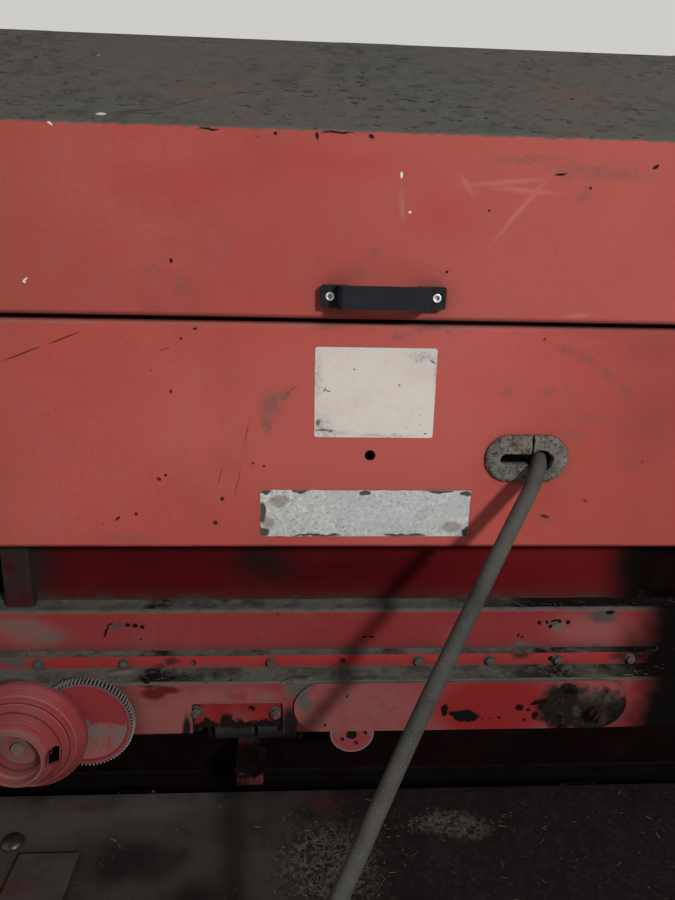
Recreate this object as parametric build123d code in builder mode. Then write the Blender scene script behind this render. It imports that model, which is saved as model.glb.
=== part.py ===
from build123d import *
import os
from math import atan2, cos, pi, radians, sin, sqrt, tan

# Front twine box of a small round baler, with the twine drive below it.
# Millimetres. X runs to the right as seen from the tractor, Y runs back into the
# baler, Z is up. The origin is the middle of the four mounting holes, in the plane
# where the side plates bolt to the baler's frame (Y = 0).

# Overall sizes
frame_width = 1300.0        # outside of the two side plates
front_depth = 300.0         # mounting face to the face of the lid and front panel
plate_t = 6.0               # side plates, beams and brackets
sheet_t = 2.0               # lid, floor and rear wall
panel_t = 2.5               # front panel
apron_t = 3.0               # set-back wall under the front panel

# Heights, from the middle of the mounting holes and then from piece to piece
panel_top = 82.0
panel_height = 276.0
lid_gap = 5.0               # the seam between panel and lid
lid_face = 198.0            # height of the lid's upright face
lid_slope = 30.0            # degrees, top of the lid
apron_show = 100.7          # what shows of the set-back wall between the panel and the beams
beam_tall = 79.1
lower_height = 77.2         # face of the lower beam
deck_drop = 127.5           # lower edge of the lower beam to the top of the deck

# Depths, from the face of the front panel
beam_setback = 26.3
apron_setback = 53.3
cross_setback = 35.0        # cross tube under the deck
ledge_deep = 31.4           # level ledge between the two faces of the lower beam
hinge_inset = 28.0          # lid's rear edge to the mounting face
bend_r = 6.0                # outside radius of a folded sheet

# Mounting holes in the rear flanges
flange_width = 60.0
hole_inset = 30.0           # hole centre from the outside of the side plate
mount_height = 560.0        # distance between the two rows
mount_hole_d = 17.0

# Fits
slack = 0.05                # radial clearance of a running fit
seat = 0.3                  # end float beside a turning piece
swing_gap = 5.0             # room left round the pieces that move

half = frame_width / 2
inner = half - plate_t
front = -front_depth
panel_bottom = panel_top - panel_height
lid_bottom = panel_top + lid_gap
lid_top = lid_bottom + lid_face
rise = tan(radians(lid_slope))
lid_rear = lid_top + (front_depth - hinge_inset) * rise
beam_top = panel_bottom - apron_show
ledge_z = beam_top - beam_tall
lower_bottom = ledge_z - lower_height
deck_top = lower_bottom - deck_drop
packer_t = 6.0              # strip between the two beams
beam_face = front + beam_setback
strip_face = beam_face - packer_t - plate_t
lower_face = strip_face - ledge_deep
cross_front = front + cross_setback


def keep(piece, label):
    """Name a finished piece and write it to its own file."""
    piece.part.label = label
    export_step(piece.part, f"parts/{label}.step")


def facing(y):
    """Upright plane at depth y: local x is X, local y is Z, and it pulls towards the front."""
    return Plane.XZ.offset(-y)


def across(x):
    """Upright plane at x: local x is Y, local y is Z, and it pulls to the right."""
    return Plane.YZ.offset(x)


def level(z):
    """Level plane at height z, which pulls upwards."""
    return Plane.XY.offset(z)


def block(x, y, z):
    """A plain block between the two given values on each axis."""
    with BuildPart() as solid:
        with BuildSketch(level(z[0])):
            with Locations(((x[0] + x[1]) / 2, (y[0] + y[1]) / 2)):
                Rectangle(x[1] - x[0], y[1] - y[0])
        extrude(amount=z[1] - z[0])
    return solid


def turned(x, z, radii_at):
    """A round solid about a line along Y through x, z, from its outline of radius and Y."""
    with BuildPart() as solid:
        with BuildSketch(Plane.XY.offset(z)):
            with BuildLine():
                Polyline(*[(x + r, y) for r, y in radii_at], close=True)
            make_face()
        revolve(axis=Axis((x, 0, z), (0, 1, 0)))
    return solid


os.makedirs("parts", exist_ok=True)

# Side plates
# Each is the end of the twine box above and carries the beams below. Its rear edge
# is folded inwards into the flange that bolts to the baler's frame.
plate_drop = 15.0           # how far the plates reach below the deck's cross tube
beam_nose = lower_face - 2.9    # front edge of the plates beside the beams
nose_rise = 10.7            # how far that edge runs above and below the beams
nose_drop = 19.0
foot_front = cross_front - 20.0
corner_r = 14.0
deck_t = 6.0
deck_crank = 10.0           # the plates' lower corner above the deck's top
cross_tube = 60.0           # the deck's square cross tube
cross_drop = 15.0           # from the deck plate down to it
tube_wall = 4.0
cross_top = deck_top - deck_t - cross_drop
plate_bottom = cross_top - cross_tube - plate_drop
lid_clear = (sheet_t + swing_gap) / cos(radians(lid_slope))
crown_drop = 16.0           # top of the plates below the lid's rear edge
plate_crown = lid_rear - crown_drop
lid_lip = 15.0              # the fold along the lid's lower edge
plate_front = front + lid_lip + swing_gap


def under_lid(y):
    """Height of the side plate's sloping edge at depth y."""
    return lid_top + (y - front) * rise - lid_clear


crown_y = front + (plate_crown - lid_top + lid_clear) / rise

side_outline = [
    (0, plate_bottom),
    (0, plate_crown),
    (crown_y, plate_crown),
    (plate_front, under_lid(plate_front)),
    (plate_front, panel_top),
    (front + panel_t, panel_top),
    (front + panel_t, panel_bottom),
    (beam_nose, beam_top + nose_rise),
    (beam_nose, lower_bottom - nose_drop),
    (foot_front, deck_top + deck_crank),
    (foot_front, plate_bottom),
]


def side_plate(hand):
    """One side plate with its flange; hand is 1 on the right and -1 on the left."""
    with BuildPart() as plate:
        with BuildSketch(across(hand * half)) as outline:
            with BuildLine():
                Polyline(*side_outline, close=True)
            make_face()
            # The two corners beside the beams stand furthest forward
            fillet(outline.vertices().sort_by(Axis.X)[:2], corner_r)
        extrude(amount=-hand * plate_t)
        with BuildSketch(facing(0)):
            with Locations((hand * (half - flange_width / 2), (plate_bottom + plate_crown) / 2)):
                Rectangle(flange_width, plate_crown - plate_bottom)
        extrude(amount=plate_t)
        with Locations(facing(-plate_t)):
            with Locations((hand * (half - hole_inset), -mount_height / 2),
                           (hand * (half - hole_inset), mount_height / 2)):
                Hole(mount_hole_d / 2)
    return plate


for hand, name in ((-1, "side_plate_left"), (1, "side_plate_right")):
    keep(side_plate(hand), name)

# Hose route, from its fitting inside the box to the start of its coil on the deck
hose_d = 19.0
hose_route = [
    (202.0, -262.0, -74.5),
    (202.0, -287.0, -74.5),
    (196.5, -311.0, -82.0),
    (184.0, -332.5, -98.5),
    (157.0, -359.0, -133.5),
    (103.5, -412.0, -206.5),
    (18.0, -499.0, -326.0),
    (-66.0, -587.5, -460.0),
    (-116.0, -645.0, -529.0),
    (-160.0, -687.0, -562.0),
    (-196.0, -716.0, -568.7),
]
hose_x, hose_start, hose_z = hose_route[0]
hose_hole = (-2.0, -4.0)    # middle of its hole in the grommet, from the fitting's axis
hose_room = 4.5             # round the hose in that hole
pipe_r = 6.0                # the steel pipe that feeds it, through the rear wall
pipe_room = 1.0

# Twine box: front panel, floor and rear wall
# The panel is one sheet with its top and bottom edges folded back. The floor lies
# on the bottom fold, and the rear wall stands on the floor's rear edge.
panel_fold = 20.0
panel_hole = (-8.0, -73.7)
panel_hole_d = 13.0
grommet_at = (183.0, -76.0)
grommet_size = (102.0, 59.0)
grommet_slot = (66.0, 13.0)
cutout_margin = 6.0         # the grommet's lip covers this much of the panel
cutout = (grommet_size[0] - 2 * cutout_margin, grommet_size[1] - 2 * cutout_margin)

with BuildPart() as front_panel:
    with BuildSketch(across(-half)):
        with BuildLine():
            FilletPolyline(
                (front + panel_fold, panel_bottom),
                (front, panel_bottom),
                (front, panel_top),
                (front + panel_fold, panel_top),
                radius=bend_r,
            )
            offset(amount=-panel_t, side=Side.RIGHT)
        make_face()
    extrude(amount=frame_width)
    with BuildSketch(facing(front + panel_t)):
        with Locations(grommet_at):
            SlotOverall(cutout[0], cutout[1])
        with Locations(panel_hole):
            Circle(panel_hole_d / 2)
    extrude(amount=panel_t, mode=Mode.SUBTRACT)
    # The folds stop at the side plates
    for hand in (-1, 1):
        with BuildSketch(level(panel_bottom)):
            with Locations((hand * (half - plate_t / 2), front + panel_t + panel_fold / 2)):
                Rectangle(plate_t, panel_fold)
        extrude(amount=panel_height, mode=Mode.SUBTRACT)
keep(front_panel, "front_panel")

wall_back = -11.0           # rear face of the box's rear wall
wall_top = lid_rear - 21.5
wall_fold = 14.0            # stiffening fold along its top
floor_low = panel_bottom + panel_t
keep(block((-inner, inner), (front + bend_r, wall_back), (floor_low, floor_low + sheet_t)), "box_floor")

with BuildPart() as box_rear_wall:
    with BuildSketch(across(-inner)):
        with BuildLine():
            FilletPolyline(
                (wall_back, floor_low + sheet_t),
                (wall_back, wall_top),
                (wall_back - wall_fold, wall_top),
                radius=bend_r / 2,
            )
            offset(amount=sheet_t, side=Side.LEFT)
        make_face()
    extrude(amount=2 * inner)
    with BuildSketch(facing(wall_back)):
        with Locations((hose_x, hose_z)):
            Circle(pipe_r + pipe_room)
    extrude(amount=sheet_t, mode=Mode.SUBTRACT)
keep(box_rear_wall, "box_rear_wall")

# Lid
# One folded sheet with a cheek at each end, which closes down outside the side plates.
cheek_gap = 5.0
lid_half = half + cheek_gap + sheet_t
cheek_foot = 90.0           # length of the cheek's bottom edge
cheek_tail = 42.0           # depth of the cheek at the hinge end
lid_line = [
    (front + lid_lip, lid_bottom),
    (front, lid_bottom),
    (front, lid_top),
    (-hinge_inset, lid_rear),
]

with BuildPart() as lid:
    with BuildSketch(across(-lid_half)):
        with BuildLine():
            FilletPolyline(*lid_line, radius=bend_r)
            offset(amount=-sheet_t, side=Side.RIGHT)
        make_face()
    extrude(amount=2 * lid_half)
    for x in (-lid_half, lid_half - sheet_t):
        with BuildSketch(across(x)):
            with BuildLine():
                skin = FilletPolyline(*lid_line, radius=bend_r)
                Polyline(
                    skin @ 1,
                    (-hinge_inset, lid_rear - cheek_tail),
                    (front + cheek_foot, lid_bottom),
                    skin @ 0,
                )
            make_face()
        extrude(amount=sheet_t)
keep(lid, "lid")

# Lid hinges
# Three butt hinges. The fixed leaf stands behind the rear wall with a knuckle at
# each end, the moving leaf lies under the lid's sheet with one knuckle between them.
knuckle_r = 8.0
pin_r = 4.0
leaf_t = 3.0
leaf_long = 55.0
fixed_leaf = 45.0
hinge_y = wall_back + leaf_t - knuckle_r
hinge_side = 170.0          # middle of an outer hinge to the side of the frame
hinge_places = (hinge_side - half, 0.0, half - hinge_side)
moving_knuckle = 40.0
end_knuckle = 22.0
hinge_long = moving_knuckle + 2 * (seat + end_knuckle)
slope = radians(lid_slope)
# Height that lays the top of the moving leaf against the underside of the sheet
sheet_under = lid_rear - sheet_t / cos(slope) + (hinge_y + hinge_inset) * rise
hinge_z = sheet_under - knuckle_r / cos(slope)

with BuildPart() as hinge_leaves_fixed:
    for x in hinge_places:
        for side in (-1, 1):
            low_x = x + side * (moving_knuckle / 2 + seat + end_knuckle / 2) - end_knuckle / 2
            with BuildSketch(across(low_x)):
                with Locations((hinge_y, hinge_z)):
                    Circle(knuckle_r)
                with Locations((hinge_y + knuckle_r - leaf_t / 2, hinge_z - fixed_leaf / 2)):
                    Rectangle(leaf_t, fixed_leaf)
                with Locations((hinge_y, hinge_z)):
                    Circle(pin_r + slack, mode=Mode.SUBTRACT)
            extrude(amount=end_knuckle)
        # The plate that joins the two knuckles, below the moving one
        with BuildSketch(facing(wall_back + leaf_t)):
            with Locations((x, hinge_z - fixed_leaf / 2 - knuckle_r)):
                Rectangle(hinge_long, fixed_leaf - 2 * knuckle_r)
        extrude(amount=leaf_t)
keep(hinge_leaves_fixed, "hinge_leaves_fixed")

with BuildPart() as hinge_leaves_lid:
    for x in hinge_places:
        with BuildSketch(across(x - moving_knuckle / 2)):
            with Locations((hinge_y, hinge_z)):
                Circle(knuckle_r)
            with BuildLine():
                tip = (hinge_y - knuckle_r * sin(slope), hinge_z + knuckle_r * cos(slope))
                far = (tip[0] - leaf_long * cos(slope), tip[1] - leaf_long * sin(slope))
                Polyline(
                    tip,
                    far,
                    (far[0] + leaf_t * sin(slope), far[1] - leaf_t * cos(slope)),
                    (tip[0] + leaf_t * sin(slope), tip[1] - leaf_t * cos(slope)),
                    close=True,
                )
            make_face()
            with Locations((hinge_y, hinge_z)):
                Circle(pin_r + slack, mode=Mode.SUBTRACT)
        extrude(amount=moving_knuckle)
keep(hinge_leaves_lid, "hinge_leaves_lid")

with BuildPart() as hinge_pins:
    for x in hinge_places:
        with BuildSketch(across(x - hinge_long / 2)):
            with Locations((hinge_y, hinge_z)):
                Circle(pin_r)
        extrude(amount=hinge_long)
keep(hinge_pins, "hinge_pins")

# Lid stiffeners, two pressed ribs under the sloping sheet, open towards it
rib_side = 320.0            # middle of a rib to the side of the frame
rib_places = (rib_side - half, half - rib_side)
rib_wide = 46.0
rib_deep = 14.0
rib_from = 30.0             # first end, measured up the slope from the front corner
slope_long = (front_depth - hinge_inset) / cos(slope)
rib_to = slope_long - leaf_long - 34.0


def rib_outline(inset):
    """Side view of a rib, or of its hollow when inset is the sheet's thickness."""
    deep = rib_deep - inset
    return (
        down_slope(rib_from + inset, sheet_t),
        down_slope(rib_to - inset, sheet_t),
        down_slope(rib_to - inset - deep, sheet_t + deep),
        down_slope(rib_from + inset + deep, sheet_t + deep),
    )


def down_slope(along, below):
    """A point under the lid's top sheet: along it from the front corner, and below its outside."""
    y = front + along * cos(slope) + below * sin(slope)
    return (y, lid_top + along * sin(slope) - below * cos(slope))


with BuildPart() as lid_ribs:
    for x in rib_places:
        for inset, kind in ((0, Mode.ADD), (sheet_t, Mode.SUBTRACT)):
            with BuildSketch(across(x - rib_wide / 2 + inset)):
                with BuildLine():
                    Polyline(*rib_outline(inset), close=True)
                make_face()
            extrude(amount=rib_wide - 2 * inset, mode=kind)
keep(lid_ribs, "lid_ribs")

# Pull handle, a bridge with two feet
handle_z = lid_bottom + 25.8
handle_holes = 120.0
handle_tall = 25.0
foot_over = 10.0            # each foot past its screw
foot_t = 12.0
foot_round = 3.0
handle_out = 36.0
grip_t = 12.0
grip_end = 52.0             # half lengths of the grip outside, and inside between its legs
grip_in = 40.0
grip_slant = 2.0            # how far the legs lean in
screw_r = 3.3
screw_head_r = 6.0
screw_head_t = 5.0
foot_end = handle_holes / 2 + foot_over

with BuildPart() as pull_handle:
    with BuildSketch(level(handle_z - handle_tall / 2)):
        with BuildLine():
            Polyline(
                (-foot_end, front),
                (-foot_end, front - foot_t),
                (-grip_end, front - foot_t),
                (-grip_end + grip_slant, front - handle_out),
                (grip_end - grip_slant, front - handle_out),
                (grip_end, front - foot_t),
                (foot_end, front - foot_t),
                (foot_end, front),
                (grip_in, front),
                (grip_in - grip_slant, front - handle_out + grip_t),
                (-grip_in + grip_slant, front - handle_out + grip_t),
                (-grip_in, front),
                close=True,
            )
        make_face()
    extrude(amount=handle_tall)
    fillet(pull_handle.edges().filter_by(Axis.Z).group_by(Axis.Y)[0], grip_t / 3)
    foot_corners = pull_handle.edges().filter_by(Axis.Y).group_by(Axis.X)
    fillet(foot_corners[0] + foot_corners[-1], foot_round)
    with Locations(facing(front - foot_t)):
        with Locations((-handle_holes / 2, handle_z), (handle_holes / 2, handle_z)):
            CounterBoreHole(screw_r, screw_head_r, screw_head_t)
keep(pull_handle, "pull_handle")

# Rubber grommet round the hose opening, split at its top
lip_out = 6.0
lip_in = 5.0
split_x = 189.0
split_wide = 2.0

with BuildPart() as grommet:
    for y, long, tall, deep in (
        (front, grommet_size[0], grommet_size[1], lip_out),
        (front + panel_t, cutout[0], cutout[1], panel_t),
        (front + panel_t + lip_in, grommet_size[0] - 2, grommet_size[1] - 2, lip_in),
    ):
        with BuildSketch(facing(y)):
            with Locations(grommet_at):
                SlotOverall(long, tall)
        extrude(amount=deep)
    chamfer(grommet.edges().group_by(Axis.Y)[0], lip_out / 2)
    with BuildSketch(facing(front + panel_t + lip_in)):
        with Locations(grommet_at):
            SlotOverall(grommet_slot[0], grommet_slot[1])
        with Locations((hose_x + hose_hole[0], hose_z + hose_hole[1])):
            Circle(hose_d / 2 + hose_room)
        with Locations((split_x, grommet_at[1] + grommet_size[1] / 2)):
            Rectangle(split_wide, grommet_size[1] - grommet_slot[1])
    extrude(amount=lip_out + panel_t + lip_in, mode=Mode.SUBTRACT)
keep(grommet, "grommet")

# Set-back wall under the box, and the bracket at its left end
apron_front = front + apron_setback
apron_left = -475.0
apron_right = 380.0
keep(block((apron_left, apron_right), (apron_front, apron_front + apron_t), (beam_top, floor_low)), "apron")
bracket_wide = 36.0
bracket_deep = 16.0

with BuildPart() as apron_bracket:
    with BuildSketch(level(beam_top)):
        with BuildLine():
            FilletPolyline(
                (apron_left, apron_front),
                (apron_left, apron_front - bracket_deep),
                (apron_left + bracket_wide, apron_front - bracket_deep),
                (apron_left + bracket_wide, apron_front),
                radius=apron_t,
            )
            offset(amount=-apron_t, side=Side.LEFT)
        make_face()
    extrude(amount=floor_low - beam_top)
keep(apron_bracket, "apron_bracket")

# Cross beam: a closed tube, with a packing strip and a folded lower beam bolted in front
beam_deep = 60.0
strip_tall = 19.0
strip_top = ledge_z + strip_tall
lower_return = 22.0

with BuildPart() as cross_beam:
    with BuildSketch(across(-inner)):
        with Locations((beam_face + beam_deep / 2, (beam_top + ledge_z) / 2)):
            RectangleRounded(beam_deep, beam_top - ledge_z, bend_r)
            Rectangle(beam_deep - 2 * tube_wall, beam_top - ledge_z - 2 * tube_wall, mode=Mode.SUBTRACT)
    extrude(amount=2 * inner)
keep(cross_beam, "cross_beam")

packer_half = inner - 44.0
packer_y = (beam_face - packer_t, beam_face)
keep(block((-packer_half, packer_half), packer_y, (ledge_z, strip_top)), "packing_strip")

notch = (-230.0, -112.0)    # where the roller bracket shows through
notch_top = ledge_z - 30.9
notch_r = 4.0
return_gap = (-262.0, 24.0)     # the lower fold stops beside the rollers and the small wheel
strip_holes = (-231.9, -33.4, 249.8)
strip_hole_d = 9.0

with BuildPart() as lower_beam:
    with BuildSketch(across(-inner)):
        with BuildLine():
            FilletPolyline(
                (lower_face + lower_return, lower_bottom),
                (lower_face, lower_bottom),
                (lower_face, ledge_z),
                (strip_face, ledge_z),
                (strip_face, strip_top),
                radius=plate_t / 2,
            )
            offset(amount=-plate_t, side=Side.RIGHT)
        make_face()
    extrude(amount=2 * inner)
    with BuildSketch(facing(lower_face + lower_return)):
        with Locations(((notch[0] + notch[1]) / 2, (lower_bottom - 2 * notch_r + notch_top) / 2)):
            RectangleRounded(notch[1] - notch[0], notch_top - lower_bottom + 2 * notch_r, notch_r)
    extrude(amount=lower_return, mode=Mode.SUBTRACT)
    with BuildSketch(level(lower_bottom)):
        with Locations(((return_gap[0] + return_gap[1]) / 2, lower_face + plate_t + lower_return / 2)):
            Rectangle(return_gap[1] - return_gap[0], lower_return)
    extrude(amount=plate_t, mode=Mode.SUBTRACT)
    with BuildSketch(facing(strip_face + plate_t)):
        with Locations(*[(x, (strip_top + ledge_z) / 2) for x in strip_holes]):
            Circle(strip_hole_d / 2)
    extrude(amount=plate_t, mode=Mode.SUBTRACT)
keep(lower_beam, "lower_beam")

# Sheet behind the beams, between the box and the bale chamber, folded along top and foot
guard_front = beam_face + beam_deep
guard_fold = 24.0

with BuildPart() as chamber_guard:
    with BuildSketch(across(-inner)):
        with BuildLine():
            FilletPolyline(
                (guard_front - guard_fold, cross_top),
                (guard_front + sheet_t, cross_top),
                (guard_front + sheet_t, floor_low - sheet_t),
                (guard_front + guard_fold, floor_low - sheet_t),
                radius=bend_r,
            )
            offset(amount=sheet_t, side=Side.LEFT)
        make_face()
    extrude(amount=2 * inner)
keep(chamber_guard, "chamber_guard")

# Guide plate with rounded ends on the face of the lower beam
guide_t = 4.0
guide_left = -97.6
guide_right = 345.0
guide_tall = 72.0
guide_z = ledge_z - 36.7
guide_face = lower_face - guide_t

with BuildPart() as guide_plate:
    with BuildSketch(facing(lower_face)):
        with Locations(((guide_left + guide_right) / 2, guide_z)):
            SlotOverall(guide_right - guide_left, guide_tall)
    extrude(amount=guide_t)
keep(guide_plate, "guide_plate")

# Twine rollers in the notch, on a cross axle between two cheeks
roller_r = 22.0
roller_wall = 5.0
roller_long = 53.0
roller_z = lower_bottom - 7.0
roller_y = lower_face + 35.1
axle_r = 6.0
axle_over = 8.0             # the axle's ends outside the cheeks
cheek_t = 4.0
cheek_wide = 32.0
roller_ends = (-208.0, -90.0)   # inside faces of the cheeks
bracket_top = ledge_z - plate_t - 8.0
bracket_bottom = lower_bottom + 6.0
bracket_back = lower_face + 2 * plate_t
bracket_left = notch[0] - 18.0
bracket_right = roller_ends[1] + cheek_t
bracket_hole = ((notch[0] + notch[1]) / 2 + 17.6, notch_top - 13.1)

with BuildPart() as roller_bracket:
    with BuildSketch(facing(bracket_back)):
        with Locations(((bracket_left + bracket_right) / 2, (bracket_top + bracket_bottom) / 2)):
            Rectangle(bracket_right - bracket_left, bracket_top - bracket_bottom)
    extrude(amount=plate_t)
    for x in (roller_ends[0] - cheek_t, roller_ends[1]):
        with BuildSketch(across(x)):
            with BuildLine():
                Polyline(
                    (bracket_back, bracket_top),
                    (bracket_back, bracket_bottom),
                    (roller_y - cheek_wide / 2, roller_z - cheek_wide / 2),
                    (roller_y + cheek_wide / 2, roller_z - cheek_wide / 2),
                    (roller_y + cheek_wide / 2, bracket_top),
                    close=True,
                )
            make_face()
            with Locations((roller_y, roller_z)):
                Circle(axle_r + slack, mode=Mode.SUBTRACT)
        extrude(amount=cheek_t)
    with BuildSketch(facing(bracket_back)):
        with Locations(bracket_hole):
            Circle(strip_hole_d / 2)
    extrude(amount=plate_t, mode=Mode.SUBTRACT)
keep(roller_bracket, "roller_bracket")

with BuildPart() as roller_axle:
    with BuildSketch(across(roller_ends[0] - cheek_t - axle_over)):
        with Locations((roller_y, roller_z)):
            Circle(axle_r)
    extrude(amount=roller_ends[1] - roller_ends[0] + 2 * (cheek_t + axle_over))
keep(roller_axle, "roller_axle")

roller_gap = (roller_ends[1] - roller_ends[0] - 2 * roller_long) / 3
sleeve_inset = 2.0          # the rubber stops short of the core's ends


def roller_start(index):
    """Left end of a roller, counted from the left cheek."""
    return roller_ends[0] + roller_gap + index * (roller_long + roller_gap)


for index, side in enumerate(("left", "right")):
    with BuildPart() as core:
        with BuildSketch(across(roller_start(index))):
            with Locations((roller_y, roller_z)):
                Circle(roller_r - roller_wall)
                Circle(axle_r + slack, mode=Mode.SUBTRACT)
        extrude(amount=roller_long)
    keep(core, f"roller_core_{side}")
    with BuildPart() as sleeve:
        with BuildSketch(across(roller_start(index) + sleeve_inset)):
            with Locations((roller_y, roller_z)):
                Circle(roller_r)
                Circle(roller_r - roller_wall, mode=Mode.SUBTRACT)
        extrude(amount=roller_long - 2 * sleeve_inset)
    keep(sleeve, f"roller_sleeve_{side}")

# Cutter bracket that hangs behind the rollers, with its block in front of the deck's edge
strap_y = beam_face + 25.7
strap_x = (-178.0, -138.0)
block_high = lower_bottom - 71.0
block_tall = 26.0
block_front = front
block_long = 34.0
block_inset = 2.0

with BuildPart() as cutter_bracket:
    with BuildSketch(across(strap_x[0])):
        with BuildLine():
            Polyline(
                (strap_y + plate_t, ledge_z),
                (strap_y + plate_t, block_high - plate_t),
                (block_front, block_high - plate_t),
                (block_front, block_high),
                (strap_y, block_high),
                (strap_y, ledge_z),
                close=True,
            )
        make_face()
    extrude(amount=strap_x[1] - strap_x[0])
keep(cutter_bracket, "cutter_bracket")

with BuildPart() as cutter_block:
    with BuildSketch(level(block_high - block_tall)):
        with Locations(((strap_x[0] + strap_x[1]) / 2, block_front + block_long / 2)):
            RectangleRounded(strap_x[1] - strap_x[0] - 2 * block_inset, block_long, block_inset)
    extrude(amount=block_tall - plate_t)
    chamfer(cutter_block.edges().group_by(Axis.Z)[0], block_inset / 2)
keep(cutter_block, "cutter_block")

# Small twine wheel behind the lower beam, on a strap
wheel_at = (-19.2, lower_bottom - 14.0)
wheel_r = 29.5
wheel_t = 10.0
wheel_front = lower_face + 15.1
wheel_back = wheel_front + wheel_t
wheel_shaft_r = 6.0
wheel_holes_at = 17.0       # circle of the five holes
wheel_hole_r = 4.0
wheel_strap_gap = 5.5       # between wheel and strap
strap_half = 20.0           # half width of the strap, and of its narrow foot
strap_foot = 10.0
strap_tip = 16.0
wheel_strap_y = wheel_back + wheel_strap_gap + plate_t

with BuildPart() as wheel_strap:
    with BuildSketch(facing(wheel_strap_y)):
        with BuildLine():
            Polyline(
                (wheel_at[0] - strap_half, ledge_z - plate_t),
                (wheel_at[0] - strap_half, wheel_at[1]),
                (wheel_at[0] - strap_foot, wheel_at[1] - strap_tip),
                (wheel_at[0] + strap_foot, wheel_at[1] - strap_tip),
                (wheel_at[0] + strap_half, wheel_at[1]),
                (wheel_at[0] + strap_half, ledge_z - plate_t),
                close=True,
            )
        make_face()
    extrude(amount=plate_t)
    with BuildSketch(facing(wheel_strap_y)):
        with Locations(wheel_at):
            Circle(wheel_shaft_r)
    extrude(amount=wheel_strap_y - wheel_front + wheel_hole_r)
keep(wheel_strap, "wheel_strap")

with BuildPart() as twine_wheel:
    with BuildSketch(facing(wheel_back)):
        with Locations(wheel_at):
            Circle(wheel_r)
            Circle(wheel_shaft_r + slack, mode=Mode.SUBTRACT)
            with PolarLocations(wheel_holes_at, 5):
                Circle(wheel_hole_r, mode=Mode.SUBTRACT)
    extrude(amount=wheel_t)
keep(twine_wheel, "twine_wheel")

# Twine drive
# The twine turns the stepped pulley, and the pinion on the pulley's hub turns the
# toothed gear. Both run on stub shafts in the lower beam.
module = 1.5
gear_teeth = 80
pinion_teeth = 14
pressure_angle = 20.0
root_depth = 1.25           # tooth root below the pitch circle, in modules
tooth_slack = 0.12          # each tooth is this much thinner than half a pitch
centre_slack = 0.1
gear_at = (-362.1, ledge_z - 46.9)
gear_t = 10.0
gear_gap = 6.6              # between the beam and the back of the gear
gear_back = lower_face - gear_gap
gear_shaft_r = 8.0
gear_hub_r = 15.0
pulley_shaft_r = 5.0
pulley_boss_r = 9.0         # boss behind the pinion, and the pulley's hub in front of it
pulley_dir = 186.6          # degrees, from the gear's centre to the pulley's
shafts_apart = module * (gear_teeth + pinion_teeth) / 2 + centre_slack
pulley_at = (
    gear_at[0] + shafts_apart * cos(radians(pulley_dir)),
    gear_at[1] + shafts_apart * sin(radians(pulley_dir)),
)


def tooth_outline(teeth):
    """Radius and half angle up one flank of a tooth, from its root to its tip."""
    pitch_r = module * teeth / 2
    base_r = pitch_r * cos(radians(pressure_angle))
    root_r = pitch_r - root_depth * module
    tip_r = pitch_r + module

    def involute(r):
        if r <= base_r:
            return 0.0
        roll = sqrt((r / base_r) ** 2 - 1)
        return roll - atan2(roll, 1)

    half_tooth = pi / (2 * teeth) - tooth_slack / (2 * pitch_r)
    radii = [root_r, base_r, pitch_r, tip_r]
    # With many teeth the flank starts outside its base circle and is nearly straight
    if base_r < root_r:
        radii = [root_r, tip_r]
    return [(r, half_tooth + involute(pitch_r) - involute(r)) for r in radii]


def toothed(teeth, centre, first):
    """Outline of a gear whose first tooth points at the angle first, in radians."""
    flank = tooth_outline(teeth)
    points = []
    for index in range(teeth):
        middle = first + 2 * pi * index / teeth
        for r, angle in flank:
            points.append((r, middle - angle))
        for r, angle in reversed(flank):
            points.append((r, middle + angle))
    return [(centre[0] + r * cos(angle), centre[1] + r * sin(angle)) for r, angle in points]


mesh_dir = radians(pulley_dir)
web_r = module * (gear_teeth / 2 - 4)
web_sink = 1.5

with BuildPart() as drive_gear:
    with BuildSketch(facing(gear_back)):
        with BuildLine():
            Polyline(*toothed(gear_teeth, gear_at, mesh_dir), close=True)
        make_face()
        with Locations(gear_at):
            Circle(gear_shaft_r + slack, mode=Mode.SUBTRACT)
    extrude(amount=gear_t)
    with BuildSketch(facing(gear_back - gear_t)):
        with Locations(gear_at):
            Circle(web_r)
            Circle(gear_hub_r, mode=Mode.SUBTRACT)
    extrude(amount=-web_sink, mode=Mode.SUBTRACT)
keep(drive_gear, "drive_gear")

keep(turned(gear_at[0], gear_at[1], [
    (0, lower_face), (gear_hub_r, lower_face), (gear_hub_r, gear_back + seat),
    (gear_shaft_r, gear_back + seat), (gear_shaft_r, gear_back - gear_t), (0, gear_back - gear_t),
]), "gear_shaft")

with BuildPart() as pinion:
    with BuildSketch(facing(gear_back)):
        with BuildLine():
            Polyline(*toothed(pinion_teeth, pulley_at, mesh_dir + pi + pi / pinion_teeth), close=True)
        make_face()
        with Locations(pulley_at):
            Circle(pulley_shaft_r + slack, mode=Mode.SUBTRACT)
    extrude(amount=gear_t)
keep(pinion, "pinion")

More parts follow.
